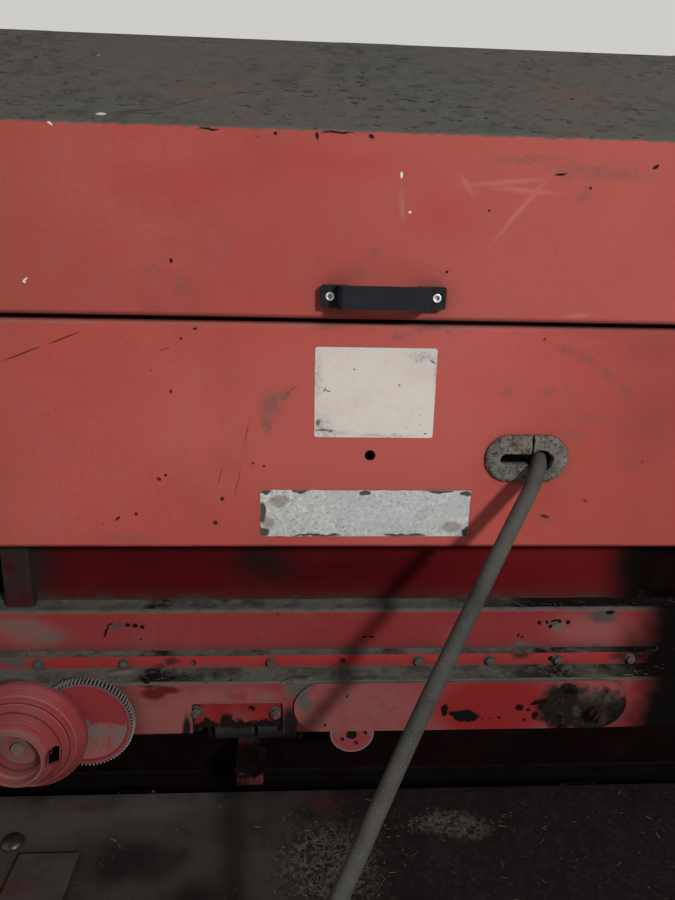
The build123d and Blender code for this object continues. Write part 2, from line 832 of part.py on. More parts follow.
# Stepped pulley: a hollow casting that rises from its rim in four steps to the lip round
# its sunk hub. A ring is a radius and how far it stands in front of the rim.
rim_r = 75.8
rim_t = 5.0
step_rings = ((63.5, 13.3), (53.5, 24.3), (45.5, 35.3), (37.5, 43.5))
step_in = 1.8               # a step starts this far inside the ring below it
ring_edge = 1.2
lip_wide = 2.5
dish_foot_r = 27.0          # the sunk hub's floor
hub_ahead = 16.0
hub_r = 16.0                # the hub behind that floor
cast_wall = 5.0
cast_in = 3.8               # the wall of the steps, measured along its radius and along Y
cast_back = 3.4
slot_r = 44.5
slot_size = (28.0, 12.0)
slot_dir = -6.0             # degrees, of the first of the two slots
pulley_back = gear_back - gear_t - swing_gap
pulley_bore = pulley_shaft_r + slack
rim_front = pulley_back - rim_t
hub_front = rim_front - hub_ahead
dish_r = step_rings[-1][0] - lip_wide

pulley_line = [
    (pulley_bore, gear_back - gear_t),
    (pulley_boss_r, gear_back - gear_t),
    (pulley_boss_r, pulley_back),
    (hub_r, pulley_back),
    (hub_r, hub_front + cast_wall),
    (dish_foot_r, hub_front + cast_wall),
    (dish_r + cast_wall, rim_front - step_rings[-2][1] + 2 * cast_back),
]
for radius, ahead in reversed(step_rings[:-1]):
    pulley_line.append((radius - cast_in, rim_front - ahead + cast_back + ring_edge))
pulley_line += [
    (rim_r - 2 * cast_in, rim_front + ring_edge),
    (rim_r - 2 * cast_in, pulley_back),
    (rim_r, pulley_back),
    (rim_r, rim_front),
]
ring = (rim_r, rim_front)
for radius, ahead in step_rings:
    pulley_line.append((ring[0] - step_in, ring[1]))
    ring = (radius, rim_front - ahead)
    pulley_line.append((radius, ring[1] + ring_edge))
    pulley_line.append(ring)
pulley_line += [(dish_r, ring[1]), (dish_foot_r, hub_front), (pulley_bore, hub_front)]

pulley_body = turned(pulley_at[0], pulley_at[1], pulley_line)
with BuildPart() as stepped_pulley:
    add(pulley_body.part)
    with BuildSketch(facing(pulley_back)):
        with Locations(pulley_at):
            with PolarLocations(slot_r, 2, start_angle=slot_dir):
                SlotOverall(slot_size[0], slot_size[1], rotation=90)
    extrude(amount=pulley_back - ring[1], mode=Mode.SUBTRACT)
keep(stepped_pulley, "stepped_pulley")

# Its shaft ends in a washer and a hexagon head
cap_r = 11.0
cap_t = 2.0
head_r = 8.5
head_t = 6.0
shaft_body = turned(pulley_at[0], pulley_at[1], [
    (0, lower_face), (pulley_boss_r, lower_face), (pulley_boss_r, gear_back + seat),
    (pulley_shaft_r, gear_back + seat), (pulley_shaft_r, hub_front - seat), (cap_r, hub_front - seat),
    (cap_r, hub_front - seat - cap_t), (0, hub_front - seat - cap_t),
])
with BuildPart() as pulley_shaft:
    add(shaft_body.part)
    with BuildSketch(facing(hub_front - seat - cap_t)):
        with Locations(pulley_at):
            RegularPolygon(head_r, 6)
    extrude(amount=head_t)
keep(pulley_shaft, "pulley_shaft")

# Twine tensioner at the right, two washers that a nut presses together on a bolt
tension_at = (303.7, guide_z - 8.8)
tension_r = 11.0            # washers
tension_t = 2.0
tension_boss_r = 7.0        # collar behind them
tension_boss_t = 6.0
tension_bolt_r = 5.0
tension_nut_r = 9.0
tension_nut_t = 8.0
tension_end = 4.0           # the bolt's end beyond its nut
washer_back = guide_face - tension_boss_t
washer_front = washer_back - tension_t - seat
nut_front = washer_front - tension_t - tension_nut_t

keep(turned(tension_at[0], tension_at[1], [
    (0, guide_face), (tension_boss_r, guide_face), (tension_boss_r, washer_back),
    (tension_bolt_r, washer_back), (tension_bolt_r, nut_front - tension_end), (0, nut_front - tension_end),
]), "tensioner_bolt")

with BuildPart() as tensioner_washer_rear:
    with BuildSketch(facing(washer_back)):
        with Locations(tension_at):
            Circle(tension_r)
            Circle(tension_bolt_r + slack, mode=Mode.SUBTRACT)
    extrude(amount=tension_t)
keep(tensioner_washer_rear, "tensioner_washer_rear")

# The front washer is one piece with the nut that presses it
with BuildPart() as tensioner_washer_front:
    with BuildSketch(facing(washer_front)):
        with Locations(tension_at):
            Circle(tension_r)
    extrude(amount=tension_t)
    with BuildSketch(facing(washer_front - tension_t)):
        with Locations(tension_at):
            RegularPolygon(tension_nut_r, 6)
    extrude(amount=tension_nut_t)
    with BuildSketch(facing(washer_front)):
        with Locations(tension_at):
            Circle(tension_bolt_r + slack)
    extrude(amount=tension_t + tension_nut_t, mode=Mode.SUBTRACT)
keep(tensioner_washer_front, "tensioner_washer_front")

# Drawbar deck: cross tube, two channels and the plate with its raised pad
deck_half = inner - 84.0
deck_back = cross_front - 13.7
deck_long = 511.3
deck_front = deck_back - deck_long
deck_lip = 24.0             # fold along the deck's front edge
rail_x = 300.0
rail_wide = 45.0
rail_tall = 75.0
rail_inset = 2.0            # behind the fold of the deck

with BuildPart() as deck_cross_tube:
    with BuildSketch(across(-inner)):
        with Locations((cross_front + cross_tube / 2, cross_top - cross_tube / 2)):
            RectangleRounded(cross_tube, cross_tube, bend_r)
            Rectangle(cross_tube - 2 * tube_wall, cross_tube - 2 * tube_wall, mode=Mode.SUBTRACT)
    extrude(amount=2 * inner)
keep(deck_cross_tube, "deck_cross_tube")

for hand, side in ((-1, "left"), (1, "right")):
    with BuildPart() as rail:
        with BuildSketch(facing(cross_front)):
            with BuildLine():
                Polyline(
                    (hand * (rail_x + rail_wide), deck_top - deck_t),
                    (hand * rail_x, deck_top - deck_t),
                    (hand * rail_x, deck_top - deck_t - rail_tall),
                    (hand * (rail_x + rail_wide), deck_top - deck_t - rail_tall),
                    (hand * (rail_x + rail_wide), deck_top - deck_t - rail_tall + plate_t),
                    (hand * (rail_x + plate_t), deck_top - deck_t - rail_tall + plate_t),
                    (hand * (rail_x + plate_t), deck_top - 2 * deck_t),
                    (hand * (rail_x + rail_wide), deck_top - 2 * deck_t),
                    close=True,
                )
            make_face()
        extrude(amount=cross_front - deck_front - deck_t - rail_inset)
    keep(rail, f"drawbar_rail_{side}")

with BuildPart() as deck_plate:
    with BuildSketch(across(-deck_half)):
        with BuildLine():
            FilletPolyline(
                (deck_front, deck_top - deck_lip),
                (deck_front, deck_top),
                (deck_back, deck_top),
                radius=deck_t + 1,
            )
            offset(amount=-deck_t, side=Side.RIGHT)
        make_face()
    extrude(amount=2 * deck_half)
keep(deck_plate, "deck_plate")

pad_x = (-439.0, -365.0)
pad_back = 102.3            # from the deck's rear edge
pad_long = 119.0
keep(block(pad_x, (deck_back - pad_back - pad_long, deck_back - pad_back), (deck_top, deck_top + deck_t)),
     "deck_pad")

# Hose
# A hydraulic hose leaves a fitting inside the box, passes the grommet, hangs down
# to the deck and lies there in a coil with its coupling on top.
ferrule_r = 13.0
ferrule_long = 28.0
nut_r = 15.0
neck_r = 8.0
lock_nut_t = 7.0
pipe_socket = 13.0
bulkhead_back = -226.0      # rear face of the bracket that holds the fitting
bulkhead_t = 4.0
bracket_over = 24.0         # the bracket's top above the hose's axis
fitting_wide = 60.0
bracket_base = 40.0
pipe_end = wall_back + 10.0


def corner_radii(points):
    """Radius of the arc at each corner: 0.45 of the shorter run over the tangent of half the turn."""
    radii = []
    for before, at, after in zip(points, points[1:], points[2:]):
        a = Vector(*at) - Vector(*before)
        b = Vector(*after) - Vector(*at)
        turn = a.get_angle(b)
        radii.append(0.45 * min(a.length, b.length) / tan(radians(turn / 2)))
    return radii


hose_radii = corner_radii(hose_route)
print("hose radii", [round(r) for r in hose_radii])

with BuildPart() as hose:
    with BuildLine() as hose_line:
        FilletPolyline(*hose_route, radius=hose_radii)
    with BuildSketch(facing(hose_start)):
        with Locations((hose_x, hose_z)):
            Circle(hose_d / 2)
    sweep()
keep(hose, "hose")
hose_long = sum(edge.length for edge in hose_line.edges())
print("hose tube", round(hose_long, 1), "mm, volume over section times length",
      round(hose.part.volume / (hose_long * pi * hose_d ** 2 / 4), 4))

# Ferrule, nut, neck through the bracket, lock nut and pipe socket, from front to back
nut_back = bulkhead_back - bulkhead_t
fitting_rows = (            # sides, radius, front, back; 0 sides is round
    (0, ferrule_r, hose_start, hose_start + ferrule_long),
    (6, nut_r, hose_start + ferrule_long, nut_back),
    (0, neck_r, nut_back, bulkhead_back),
    (6, nut_r, bulkhead_back, bulkhead_back + lock_nut_t),
    (0, neck_r, bulkhead_back + lock_nut_t, bulkhead_back + lock_nut_t + pipe_socket),
)
with BuildPart() as hose_fitting:
    for sides, radius, near, far in fitting_rows:
        with BuildSketch(facing(far)):
            with Locations((hose_x, hose_z)):
                if sides:
                    RegularPolygon(radius, sides)
                else:
                    Circle(radius)
        extrude(amount=far - near)
keep(hose_fitting, "hose_fitting")

bracket_low = floor_low + sheet_t
with BuildPart() as fitting_bracket:
    with BuildSketch(facing(bulkhead_back)):
        with Locations((hose_x, (bracket_low + hose_z + bracket_over) / 2)):
            Rectangle(fitting_wide, hose_z + bracket_over - bracket_low)
        with Locations((hose_x, hose_z)):
            Circle(neck_r + slack, mode=Mode.SUBTRACT)
    extrude(amount=bulkhead_t)
    with BuildSketch(level(bracket_low)):
        with Locations((hose_x, bulkhead_back + bracket_base / 2)):
            Rectangle(fitting_wide, bracket_base)
    extrude(amount=bulkhead_t)
keep(fitting_bracket, "fitting_bracket")

pipe_start = bulkhead_back + lock_nut_t + pipe_socket
with BuildPart() as feed_pipe:
    with BuildSketch(facing(pipe_end)):
        with Locations((hose_x, hose_z)):
            Circle(pipe_r)
    extrude(amount=pipe_end - pipe_start)
keep(feed_pipe, "feed_pipe")

# Coil: two turns side by side in two layers, then a quarter turn on top
turn_r = (95.0, 114.0)
coil_heading = (-0.69, -0.72)
hose_end = hose_route[-1]
coil_at = (hose_end[0] + turn_r[1] * coil_heading[1], hose_end[1] - turn_r[1] * coil_heading[0])
coil_low = deck_top
coil_high = coil_low + 2 * hose_d
print("coil centre", coil_at)

top_r = (turn_r[0] + turn_r[1]) / 2
coupler_r = 14.0
top_rise = coupler_r + hose_d / 2

with BuildPart() as hose_coil:
    with BuildSketch(level(coil_low)):
        with Locations(coil_at):
            Circle(turn_r[1] + hose_d / 2)
            Circle(turn_r[0] - hose_d / 2, mode=Mode.SUBTRACT)
    extrude(amount=2 * hose_d)
    # The last quarter turn lies on the others and leads to the coupling
    with BuildSketch(level(coil_high)):
        with Locations(coil_at):
            Circle(top_r + hose_d / 2)
            Circle(top_r - hose_d / 2, mode=Mode.SUBTRACT)
        with Locations((coil_at[0] - turn_r[1], coil_at[1] - turn_r[1])):
            Rectangle(2 * turn_r[1], 2 * turn_r[1], mode=Mode.INTERSECT)
    extrude(amount=top_rise)
keep(hose_coil, "hose_coil")

# Coupling: ferrule, hexagon and sleeve, from the hose to its open end
coupler_rows = ((0, 12.5, 30.0), (6, coupler_r, 26.0), (0, 10.0, 30.0))     # sides, radius, length
coupler_x = coil_at[0] - top_r
with BuildPart() as hose_coupler:
    near = coil_at[1]
    for sides, radius, long in coupler_rows:
        with BuildSketch(facing(near + long)):
            with Locations((coupler_x, coil_high + coupler_r)):
                if sides:
                    RegularPolygon(radius, sides)
                else:
                    Circle(radius)
        extrude(amount=long)
        near = near + long
keep(hose_coupler, "hose_coupler")
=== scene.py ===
import random
from functools import partial
from math import atan2, cos, hypot, pi, radians, sin, tan

import bmesh
import bpy
from bpy.props import FloatProperty, FloatVectorProperty, IntProperty, PointerProperty
from mathutils import Matrix, Vector, noise


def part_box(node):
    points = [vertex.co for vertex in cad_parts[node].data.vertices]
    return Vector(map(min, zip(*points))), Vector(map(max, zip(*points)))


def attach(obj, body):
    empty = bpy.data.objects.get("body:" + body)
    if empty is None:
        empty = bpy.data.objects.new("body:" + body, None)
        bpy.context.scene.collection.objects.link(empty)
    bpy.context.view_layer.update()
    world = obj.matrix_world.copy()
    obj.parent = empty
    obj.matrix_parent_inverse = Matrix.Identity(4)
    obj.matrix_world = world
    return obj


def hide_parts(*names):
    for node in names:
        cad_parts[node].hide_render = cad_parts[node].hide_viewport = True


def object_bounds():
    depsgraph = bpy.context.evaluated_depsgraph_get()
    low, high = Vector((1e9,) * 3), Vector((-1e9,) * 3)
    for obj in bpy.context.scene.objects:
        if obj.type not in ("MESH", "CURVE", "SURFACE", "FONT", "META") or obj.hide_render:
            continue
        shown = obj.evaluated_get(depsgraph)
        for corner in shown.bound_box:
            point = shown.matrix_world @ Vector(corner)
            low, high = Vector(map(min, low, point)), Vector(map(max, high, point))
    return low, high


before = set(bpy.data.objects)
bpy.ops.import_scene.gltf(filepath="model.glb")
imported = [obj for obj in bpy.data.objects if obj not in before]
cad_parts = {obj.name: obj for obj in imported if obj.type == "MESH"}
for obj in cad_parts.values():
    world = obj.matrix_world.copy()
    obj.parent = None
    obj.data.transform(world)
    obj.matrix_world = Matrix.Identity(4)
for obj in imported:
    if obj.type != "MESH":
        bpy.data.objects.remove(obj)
cad_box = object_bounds()

bl_info = {
    "name": "Round Baler Twine Box",
    "version": (1, 0, 0),
    "blender": (4, 5, 0),
    "location": "View3D > Sidebar > Twine Box",
    "description": "Finishes and trim for the front twine box of a round baler",
    "category": "Object",
}

# Lengths are in metres, but in millimetres where a comment says so. X runs to the right, Y back into the baler, Z up.
MM = 0.001
THROUGH = 50        # half depth of an oval mark, so large that the mark runs through the whole piece
OVERRUN = 1.1       # a stroke's oval is that much longer than the stroke

# Faces and levels of the sheet metal, read from the frame
front_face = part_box("front_panel")[0].y
panel_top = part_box("front_panel")[1].z
lid_low, lid_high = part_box("lid")
lid_slope = radians(30)
lid_crown = lid_high.z - (lid_high.y - lid_low.y) * tan(lid_slope)
beam_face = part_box("cross_beam")[0].y
beam_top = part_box("cross_beam")[1].z
strip_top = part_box("lower_beam")[1].z
ledge_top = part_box("guide_plate")[1].z + 0.7 * MM
strip_face = beam_face - 12 * MM
lower_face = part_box("lower_beam")[0].y
guide_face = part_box("guide_plate")[0].y
bracket_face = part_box("roller_bracket")[0].y
plate_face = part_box("side_plate_right")[1].x
leaf_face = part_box("hinge_leaves_fixed")[1].y
deck_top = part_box("deck_plate")[1].z
pulley_low, pulley_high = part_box("stepped_pulley")
gear_low, gear_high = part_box("drive_gear")
wheel_low, wheel_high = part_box("twine_wheel")
RIGHT_SHADOW_ENDS = (0.60, 0.46)    # along X, where the painted shadow at the right end has faded out and where it starts to fade

# Along Z, where a border of dust, dirt or wear on a face begins and where it is full
PANEL_FOOT = (-0.188, -0.193)
WALL_FOOT = (-0.278, -0.290)
BEAM_FOOT = (-0.3445, -0.353)
STRIP_DUST_TOP = (-0.3665, -0.3725)
STRIP_DUST_FOOT = (-0.3775, -0.3745)
STRIP_FOOT = (-0.3738, -0.370)
NOTCH_FOOT = (-0.419, -0.427)


def number_property(subtype):
    """A kind of property with that subtype, made from its name, description and default."""
    def make(name, description, default):
        return FloatProperty(name=name, description=description, default=default, subtype=subtype)
    return make


length_property, power_property, angle_property = (number_property(kind) for kind in ("DISTANCE", "POWER", "ANGLE"))


def colour_property(name, description, default):
    return FloatVectorProperty(name=name, description=description, default=default, subtype="COLOR", min=0.0, max=1.0)


class TwineBoxStage(bpy.types.PropertyGroup):
    """Camera, lamps and floor."""

    camera_place: FloatVectorProperty(
        name="Camera", description="Where the camera stands", default=(-0.0914, -1.0787, 0.150),
        subtype="TRANSLATION", unit="LENGTH")
    camera_pitch: angle_property("Pitch", "How far the camera looks down", radians(15.56))
    camera_yaw: angle_property("Yaw", "How far the camera looks to the right", radians(3.24))
    camera_roll: angle_property("Roll", "Turn of the camera about its own line of sight", radians(1.28))
    camera_lens: FloatProperty(
        name="Lens", description="Focal length on a 36 mm film", default=27.04, subtype="DISTANCE_CAMERA")
    key_power: power_property("Key Power", "Lamp at the right that casts the hose's shadow", 100.0)
    top_power: power_property("Top Power", "Large soft lamp overhead", 12.0)
    fill_power: power_property("Fill Power", "Large soft lamp at the left", 14.0)
    back_power: power_property("Back Power", "Large soft lamp behind", 50.0)
    world_level: FloatProperty(
        name="World", description="Strength of the even light from all sides", default=0.18, min=0.0)
    floor_gap: length_property("Floor Gap", "Floor below the lowest edge", 0.25)
    floor_colour: colour_property("Floor", "Colour of the floor and background", (0.62, 0.61, 0.59))


class TwineBoxHose(bpy.types.PropertyGroup):
    """Hydraulic hose from the box to its coil on the deck."""

    diameter: length_property("Diameter", "Outside of the hose", 19 * MM)
    inner_turn: length_property("Inner Turn", "Radius of the coil's inner turns", 95 * MM)
    outer_turn: length_property("Outer Turn", "Radius of the coil's outer turns", 114 * MM)
    turn_points: IntProperty(
        name="Points", description="Control points in each turn of the coil", default=18, min=12)


class TwineBoxTrim(bpy.types.PropertyGroup):
    """Bolts, screws, labels and welds."""

    small_hex: length_property("Small Hexagon", "Across the flats of the beam bolts", 10 * MM)
    large_hex: length_property("Large Hexagon", "Across the flats of the side bolts", 16 * MM)
    screw_head: length_property("Screw Head", "Radius of the handle's socket screws", 5.2 * MM)
    dome_radius: length_property("Dome", "Radius of the deck's domed bolts", 14 * MM)
    label_size: FloatVectorProperty(
        name="Label", description="Width and height of the blank label", size=2, default=(142 * MM, 107 * MM),
        unit="LENGTH")
    plate_size: FloatVectorProperty(
        name="Plate", description="Width and height of the blank plate", size=2, default=(258 * MM, 60 * MM),
        unit="LENGTH")
    bead: length_property("Weld Bead", "Radius of the weld beads", 3 * MM)
    rib_pitch: length_property("Grommet Ribs", "Distance between the ribs round the grommet", 3.2 * MM)


class TwineBoxDirt(bpy.types.PropertyGroup):
    """Dust, grease and chaff."""

    drift_height: length_property("Drifts", "Thickest dust on the ledges", 3.2 * MM)
    lid_chaff: IntProperty(name="Lid Chaff", description="Flakes on the lid", default=700, min=0)
    ledge_chaff: IntProperty(name="Ledge Chaff", description="Flakes on the ledges", default=420, min=0)
    deck_chaff: IntProperty(name="Deck Chaff", description="Flakes on the deck", default=1500, min=0)
    seed: IntProperty(name="Seed", description="Arrangement of flakes, lumps and drifts", default=7, min=0)


class TwineBoxColours(bpy.types.PropertyGroup):
    """Colours of the finishes."""

    lid_red: colour_property("Lid", "Faded paint of lid and front panel", (0.330, 0.062, 0.050))
    # Darker than the lid's paint: partly painted shade of the lower, farther beams.
    beam_red: colour_property("Beams", "Paint of the beams", (0.190, 0.026, 0.027))
    strip_red: colour_property("Strip", "Fresher paint of the packing strip and bracket", (0.190, 0.016, 0.016))
    # Darker than fresh paint: partly painted shade under the box.
    shade_red: colour_property("Set-Back Wall", "Unfaded paint under the box", (0.060, 0.0038, 0.0052))
    cast_red: colour_property("Castings", "Paint of pulley and gear", (0.215, 0.034, 0.036))
    # Darker than the deck's own paint: partly painted shade of the low deck.
    deck_brown: colour_property("Deck", "Oily paint of the deck", (0.0125, 0.0080, 0.0088))
    dust: colour_property("Dust", "Dry dust on ledges", (0.084, 0.080, 0.070))
    rust: colour_property("Rust", "Rust in chips and along cut edges", (0.095, 0.034, 0.016))
    oil: colour_property("Oil", "Oily dirt", (0.0085, 0.0065, 0.0060))
    steel: colour_property("Steel", "Bare steel", (0.330, 0.320, 0.300))
    straw: colour_property("Straw", "Dry straw in the chaff", (0.360, 0.290, 0.170))
    label_white: colour_property("Label", "Yellowed film of the blank label", (0.560, 0.505, 0.462))
    plate_grey: colour_property("Plate", "Worn foil of the blank plate", (0.400, 0.405, 0.385))
    black: colour_property("Black", "Plastic of the pull handle", (0.0105, 0.0115, 0.0145))
    hose_grey: colour_property("Hose", "Dusty rubber of the hose", (0.052, 0.051, 0.047))
    rubber_grey: colour_property("Grommet", "Dusty rubber of the grommet", (0.140, 0.124, 0.108))


class Finish:
    """A surface built up in layers; each layer's mask says where its colour, gloss and height show."""

    def __init__(self, name, colour, roughness, metallic=0.0, shine=0.05):
        self.material = bpy.data.materials.new(name)
        self.material.use_nodes = True
        self.nodes = self.material.node_tree.nodes
        self.shader = self.nodes["Principled BSDF"]
        self.shader.inputs["Metallic"].default_value = metallic
        self.shader.inputs["Specular IOR Level"].default_value = shine
        coordinates = self.nodes.new("ShaderNodeTexCoord")
        self.place = coordinates.outputs["Object"]
        self.lie = coordinates.outputs["Normal"]
        self.colour = tuple(colour)
        self.roughness = roughness
        self.height = None
        self.bent = {}

    def wire(self, socket, value):
        """Link a socket to an output, or give it a plain value."""
        if isinstance(value, bpy.types.NodeSocket):
            self.material.node_tree.links.new(value, socket)
        elif socket.type == "RGBA":
            socket.default_value = (*value, 1.0)
        else:
            socket.default_value = value

    def node(self, kind, inputs, output=0, **settings):
        """Add a node, set it up, feed its inputs by name or number and return one output."""
        node = self.nodes.new(kind)
        for key, value in settings.items():
            setattr(node, key, value)
        for key, value in inputs.items():
            self.wire(node.inputs[key], value)
        return node.outputs[output]

    def math(self, operation, a, b):
        """A number worked out from two."""
        return self.node("ShaderNodeMath", {0: a, 1: b}, operation=operation)

    def both(self, *masks):
        """The product of several masks or numbers."""
        total = masks[0]
        for mask in masks[1:]:
            total = self.math("MULTIPLY", total, mask)
        return total

    def either(self, *masks):
        """The strongest of several masks."""
        total = masks[0]
        for mask in masks[1:]:
            total = self.math("MAXIMUM", total, mask)
        return total

    def span(self, value, low, high):
        """Bring a value from the range low to high to 0 to 1, with soft ends. Low may be the larger."""
        return self.node("ShaderNodeMapRange", {"Value": value, "From Min": low, "From Max": high},
                         interpolation_type="SMOOTHSTEP")

    def along(self, axis):
        """The place along X, Y or Z in metres."""
        return self.node("ShaderNodeSeparateXYZ", {0: self.place}, output="XYZ".index(axis))

    def ragged(self, axis, wave, depth):
        """The place along an axis, moved to and fro by noise, for a border that isn't straight."""
        return self.math("ADD", self.along(axis), self.both(self.noise(wave, 0.25, 0.75), depth))

    def vectors(self, operation, a, b=(0, 0, 0), output=0):
        """A vector or, with output 1, a number worked out from one or two vectors."""
        return self.node("ShaderNodeVectorMath", {0: a, 1: b}, output, operation=operation)

    def warped(self, warp, wave):
        """Object coordinates shifted by noise, which is made once for each number of waves."""
        if not warp:
            return self.place
        if wave not in self.bent:
            cloud = self.node("ShaderNodeTexNoise", {"Vector": self.place, "Scale": wave, "Detail": 2.0}, output=1)
            self.bent[wave] = self.vectors("SUBTRACT", cloud, (0.5, 0.5, 0.5))
        return self.vectors("ADD", self.place, self.vectors("MULTIPLY", self.bent[wave], (warp, warp, warp)))

    def moved(self, place=(0, 0, 0), turn=(0, 0, 0), scale=(1, 1, 1), warp=0.0, wave=30):
        """Coordinates about another centre, turned and divided by scale."""
        return self.node("ShaderNodeMapping", {"Vector": self.warped(warp, wave), "Location": place, "Rotation": turn,
                                               "Scale": scale}, vector_type="TEXTURE")

    def noise(self, scale, low, high, detail=3.0, stretch=(1, 1, 1), at=(0, 0, 0), rough=0.6):
        """Noise with that many waves a metre, as a mask from low to high."""
        coords = self.moved(place=at, scale=stretch)
        raw = self.node("ShaderNodeTexNoise",
                        {"Vector": coords, "Scale": scale, "Detail": detail, "Roughness": rough})
        return self.span(raw, low, high)

    def grains(self, scale, size, share):
        """Two masks of round grains, each in a share of the cells of a grid; the size is in cells."""
        distance = self.node("ShaderNodeTexVoronoi", {"Vector": self.moved(), "Scale": scale}, "Distance")
        grain = self.span(distance, size, size * 0.4)
        tone = self.node("ShaderNodeSeparateColor", {0: distance.node.outputs["Color"]})
        return (self.both(grain, self.math("LESS_THAN", tone, share)),
                self.both(grain, self.math("GREATER_THAN", tone, 1 - share)))

    def right_end_shadow(self, wave, start, stop):
        """Painted shadow on what lies right of the tensioner, from where it starts and stops growing."""
        place = self.ragged("X", wave, 24 * MM)
        return self.both(self.span(place, start, stop), self.span(place, *RIGHT_SHADOW_ENDS))

    def facing(self, axis, low=0.3, high=0.8, sign=1):
        """Surfaces that face along an axis, or against it with sign -1."""
        part = self.node("ShaderNodeSeparateXYZ", {0: self.lie}, output="XYZ".index(axis))
        return self.span(part, sign * low, sign * high)

    def edges(self, radius):
        """Within that distance of an edge."""
        bent = self.node("ShaderNodeBevel", {"Radius": radius}, samples=2)
        flat = self.node("ShaderNodeNewGeometry", {}, output=1)
        return self.span(self.vectors("DOT_PRODUCT", bent, flat, 1), 0.995, 0.88)

    def nooks(self, distance):
        """Corners and gaps narrower than about that distance, where dirt and painted shade darken a surface."""
        open_part = self.node("ShaderNodeAmbientOcclusion", {"Distance": distance}, output=1, samples=2)
        return self.span(open_part, 0.85, 0.35)

    def spots(self, ovals, flat="XZ", warp=10, wave=30, full=0.5, rim=0.0):
        """Ovals on a front face, or on a top with flat XY: (across, up, half width, half height, turn)
        in millimetres and degrees. Noise with that many waves a metre bends them by warp millimetres. They grow
        from nothing at rim to full strength at full, as shares of the way from their border to their middle."""
        balls = []
        for across, up, wide, tall, *turn in ovals:
            angle = radians(turn[0]) if turn else 0.0
            if flat == "XZ":
                oval = (across * MM, 0, up * MM), (0, -angle, 0), (wide * MM, THROUGH, tall * MM)
            else:
                oval = (across * MM, up * MM, 0), (0, 0, angle), (wide * MM, tall * MM, THROUGH)
            balls.append(self.node("ShaderNodeTexGradient", {"Vector": self.moved(*oval, warp * MM, wave)}, output=1,
                                   gradient_type="SPHERICAL"))
        return self.span(self.either(*balls), rim, full)

    def strokes(self, lines, width, flat="XZ", warp=3, full=0.5):
        """Scratches and smears, each from one place to another in millimetres."""
        ovals = []
        for (x0, z0), (x1, z1) in lines:
            ovals.append(((x0 + x1) / 2, (z0 + z1) / 2, hypot(x1 - x0, z1 - z0) / 2 * OVERRUN, width,
                          atan2(z1 - z0, x1 - x0) * 180 / pi))
        return self.spots(ovals, flat, warp, full=full)

    def radius_about(self, low, high):
        """Distance from the axis along Y through the middle of a box, with Y shrunk to next to nothing."""
        centre = (low + high) / 2
        return self.vectors("LENGTH", self.moved(place=(centre.x, 0, centre.z), scale=(1, 1e6, 1)), output=1)

    def turned(self, radius, scale, low, high):
        """Rings left by turning, with that many waves a metre of radius."""
        raw = self.node("ShaderNodeTexNoise", {"W": radius, "Scale": scale, "Detail": 2.0}, noise_dimensions="1D")
        return self.span(raw, low, high)

    def layer(self, mask, colour=None, roughness=None, height=0.0):
        """Lay a colour, a roughness and a thickness over what is there. Several masks are multiplied."""
        if isinstance(mask, tuple):
            mask = self.both(*mask)
        if colour is not None:
            self.colour = self.node("ShaderNodeMix", {"Factor": mask, 6: self.colour, 7: colour}, output=2,
                                    data_type="RGBA")
        if roughness is not None:
            self.roughness = self.node("ShaderNodeMix", {"Factor": mask, 2: self.roughness, 3: roughness})
        if height:
            part = self.both(mask, height)
            self.height = part if self.height is None else self.math("ADD", self.height, part)

    def metal(self, mask):
        """Bare metal where the mask is, and paint elsewhere."""
        self.wire(self.shader.inputs["Metallic"], mask)

    def done(self):
        """Connect the layers to the shader and return the material."""
        self.wire(self.shader.inputs["Base Color"], self.colour)
        self.wire(self.shader.inputs["Roughness"], self.roughness)
        if self.height is not None:
            bump = self.node("ShaderNodeBump", {"Height": self.height, "Distance": 1.0})
            self.wire(self.shader.inputs["Normal"], bump)
        return self.material


def shade(colour, factor):
    """The same colour, darker or lighter."""
    return tuple(min(1.0, part * factor) for part in colour)


def tints(colours, *names):
    """For each named colour, a function that gives it darker or lighter."""
    return [partial(shade, getattr(colours, name)) for name in names]


def blend(colour, other, share):
    """A colour part of the way to another."""
    return tuple(a + (b - a) * share for a, b in zip(colour, other))


def dress(material, *nodes):
    """Give CAD nodes a finish."""
    for node in nodes:
        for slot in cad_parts[node].material_slots:
            slot.material = material


def old_paint(name, colour, colours, gloss=0.55, chips=1.0, flake=0.0, rub=None, haze=0.28, shine=0.05):
    """Old enamel: faded in clouds, mottled and chipped or rubbed along its edges."""
    coat = Finish(name, colour, gloss, shine=shine)
    pale = blend(shade(colour, 1.15), [0.7 * max(colour)] * 3, 0.36 * haze)
    coat.layer((coat.noise(3.1, 0.4, 0.7, detail=2), 0.7), pale, gloss + 0.12)
    coat.layer((coat.noise(9, 0.46, 0.8, at=(5, 2, 1)), 0.8), shade(colour, 0.82))
    coat.layer((coat.noise(150, 0.40, 0.80), 0.5), shade(colour, 0.78), gloss + 0.1, 0.06 * MM)
    coat.layer((coat.noise(24, 0.52, 0.8, at=(0, 4, 3)), haze), blend(colour, shade(colours.dust, 1.6), 0.6), 0.9)
    pits, crumbs = coat.grains(42, 0.075, 0.16)
    coat.layer((pits, 0.8), shade(colours.rust, 0.5), 0.8, -0.08 * MM)
    coat.layer((crumbs, 0.7), shade(colour, 0.35), 0.8)
    if flake:
        bare = coat.noise(11, 0.70 - 0.12 * flake, 0.72 - 0.12 * flake, detail=7, at=(9, 9, 9), rough=0.7)
        coat.layer(bare, colours.rust, 0.9, -0.15 * MM)
    coat.layer((coat.edges(1.4 * MM), coat.noise(70, 0.60 - 0.16 * chips, 0.76 - 0.16 * chips, detail=4)),
               rub or shade(colours.rust, 0.75), 0.85)
    return coat


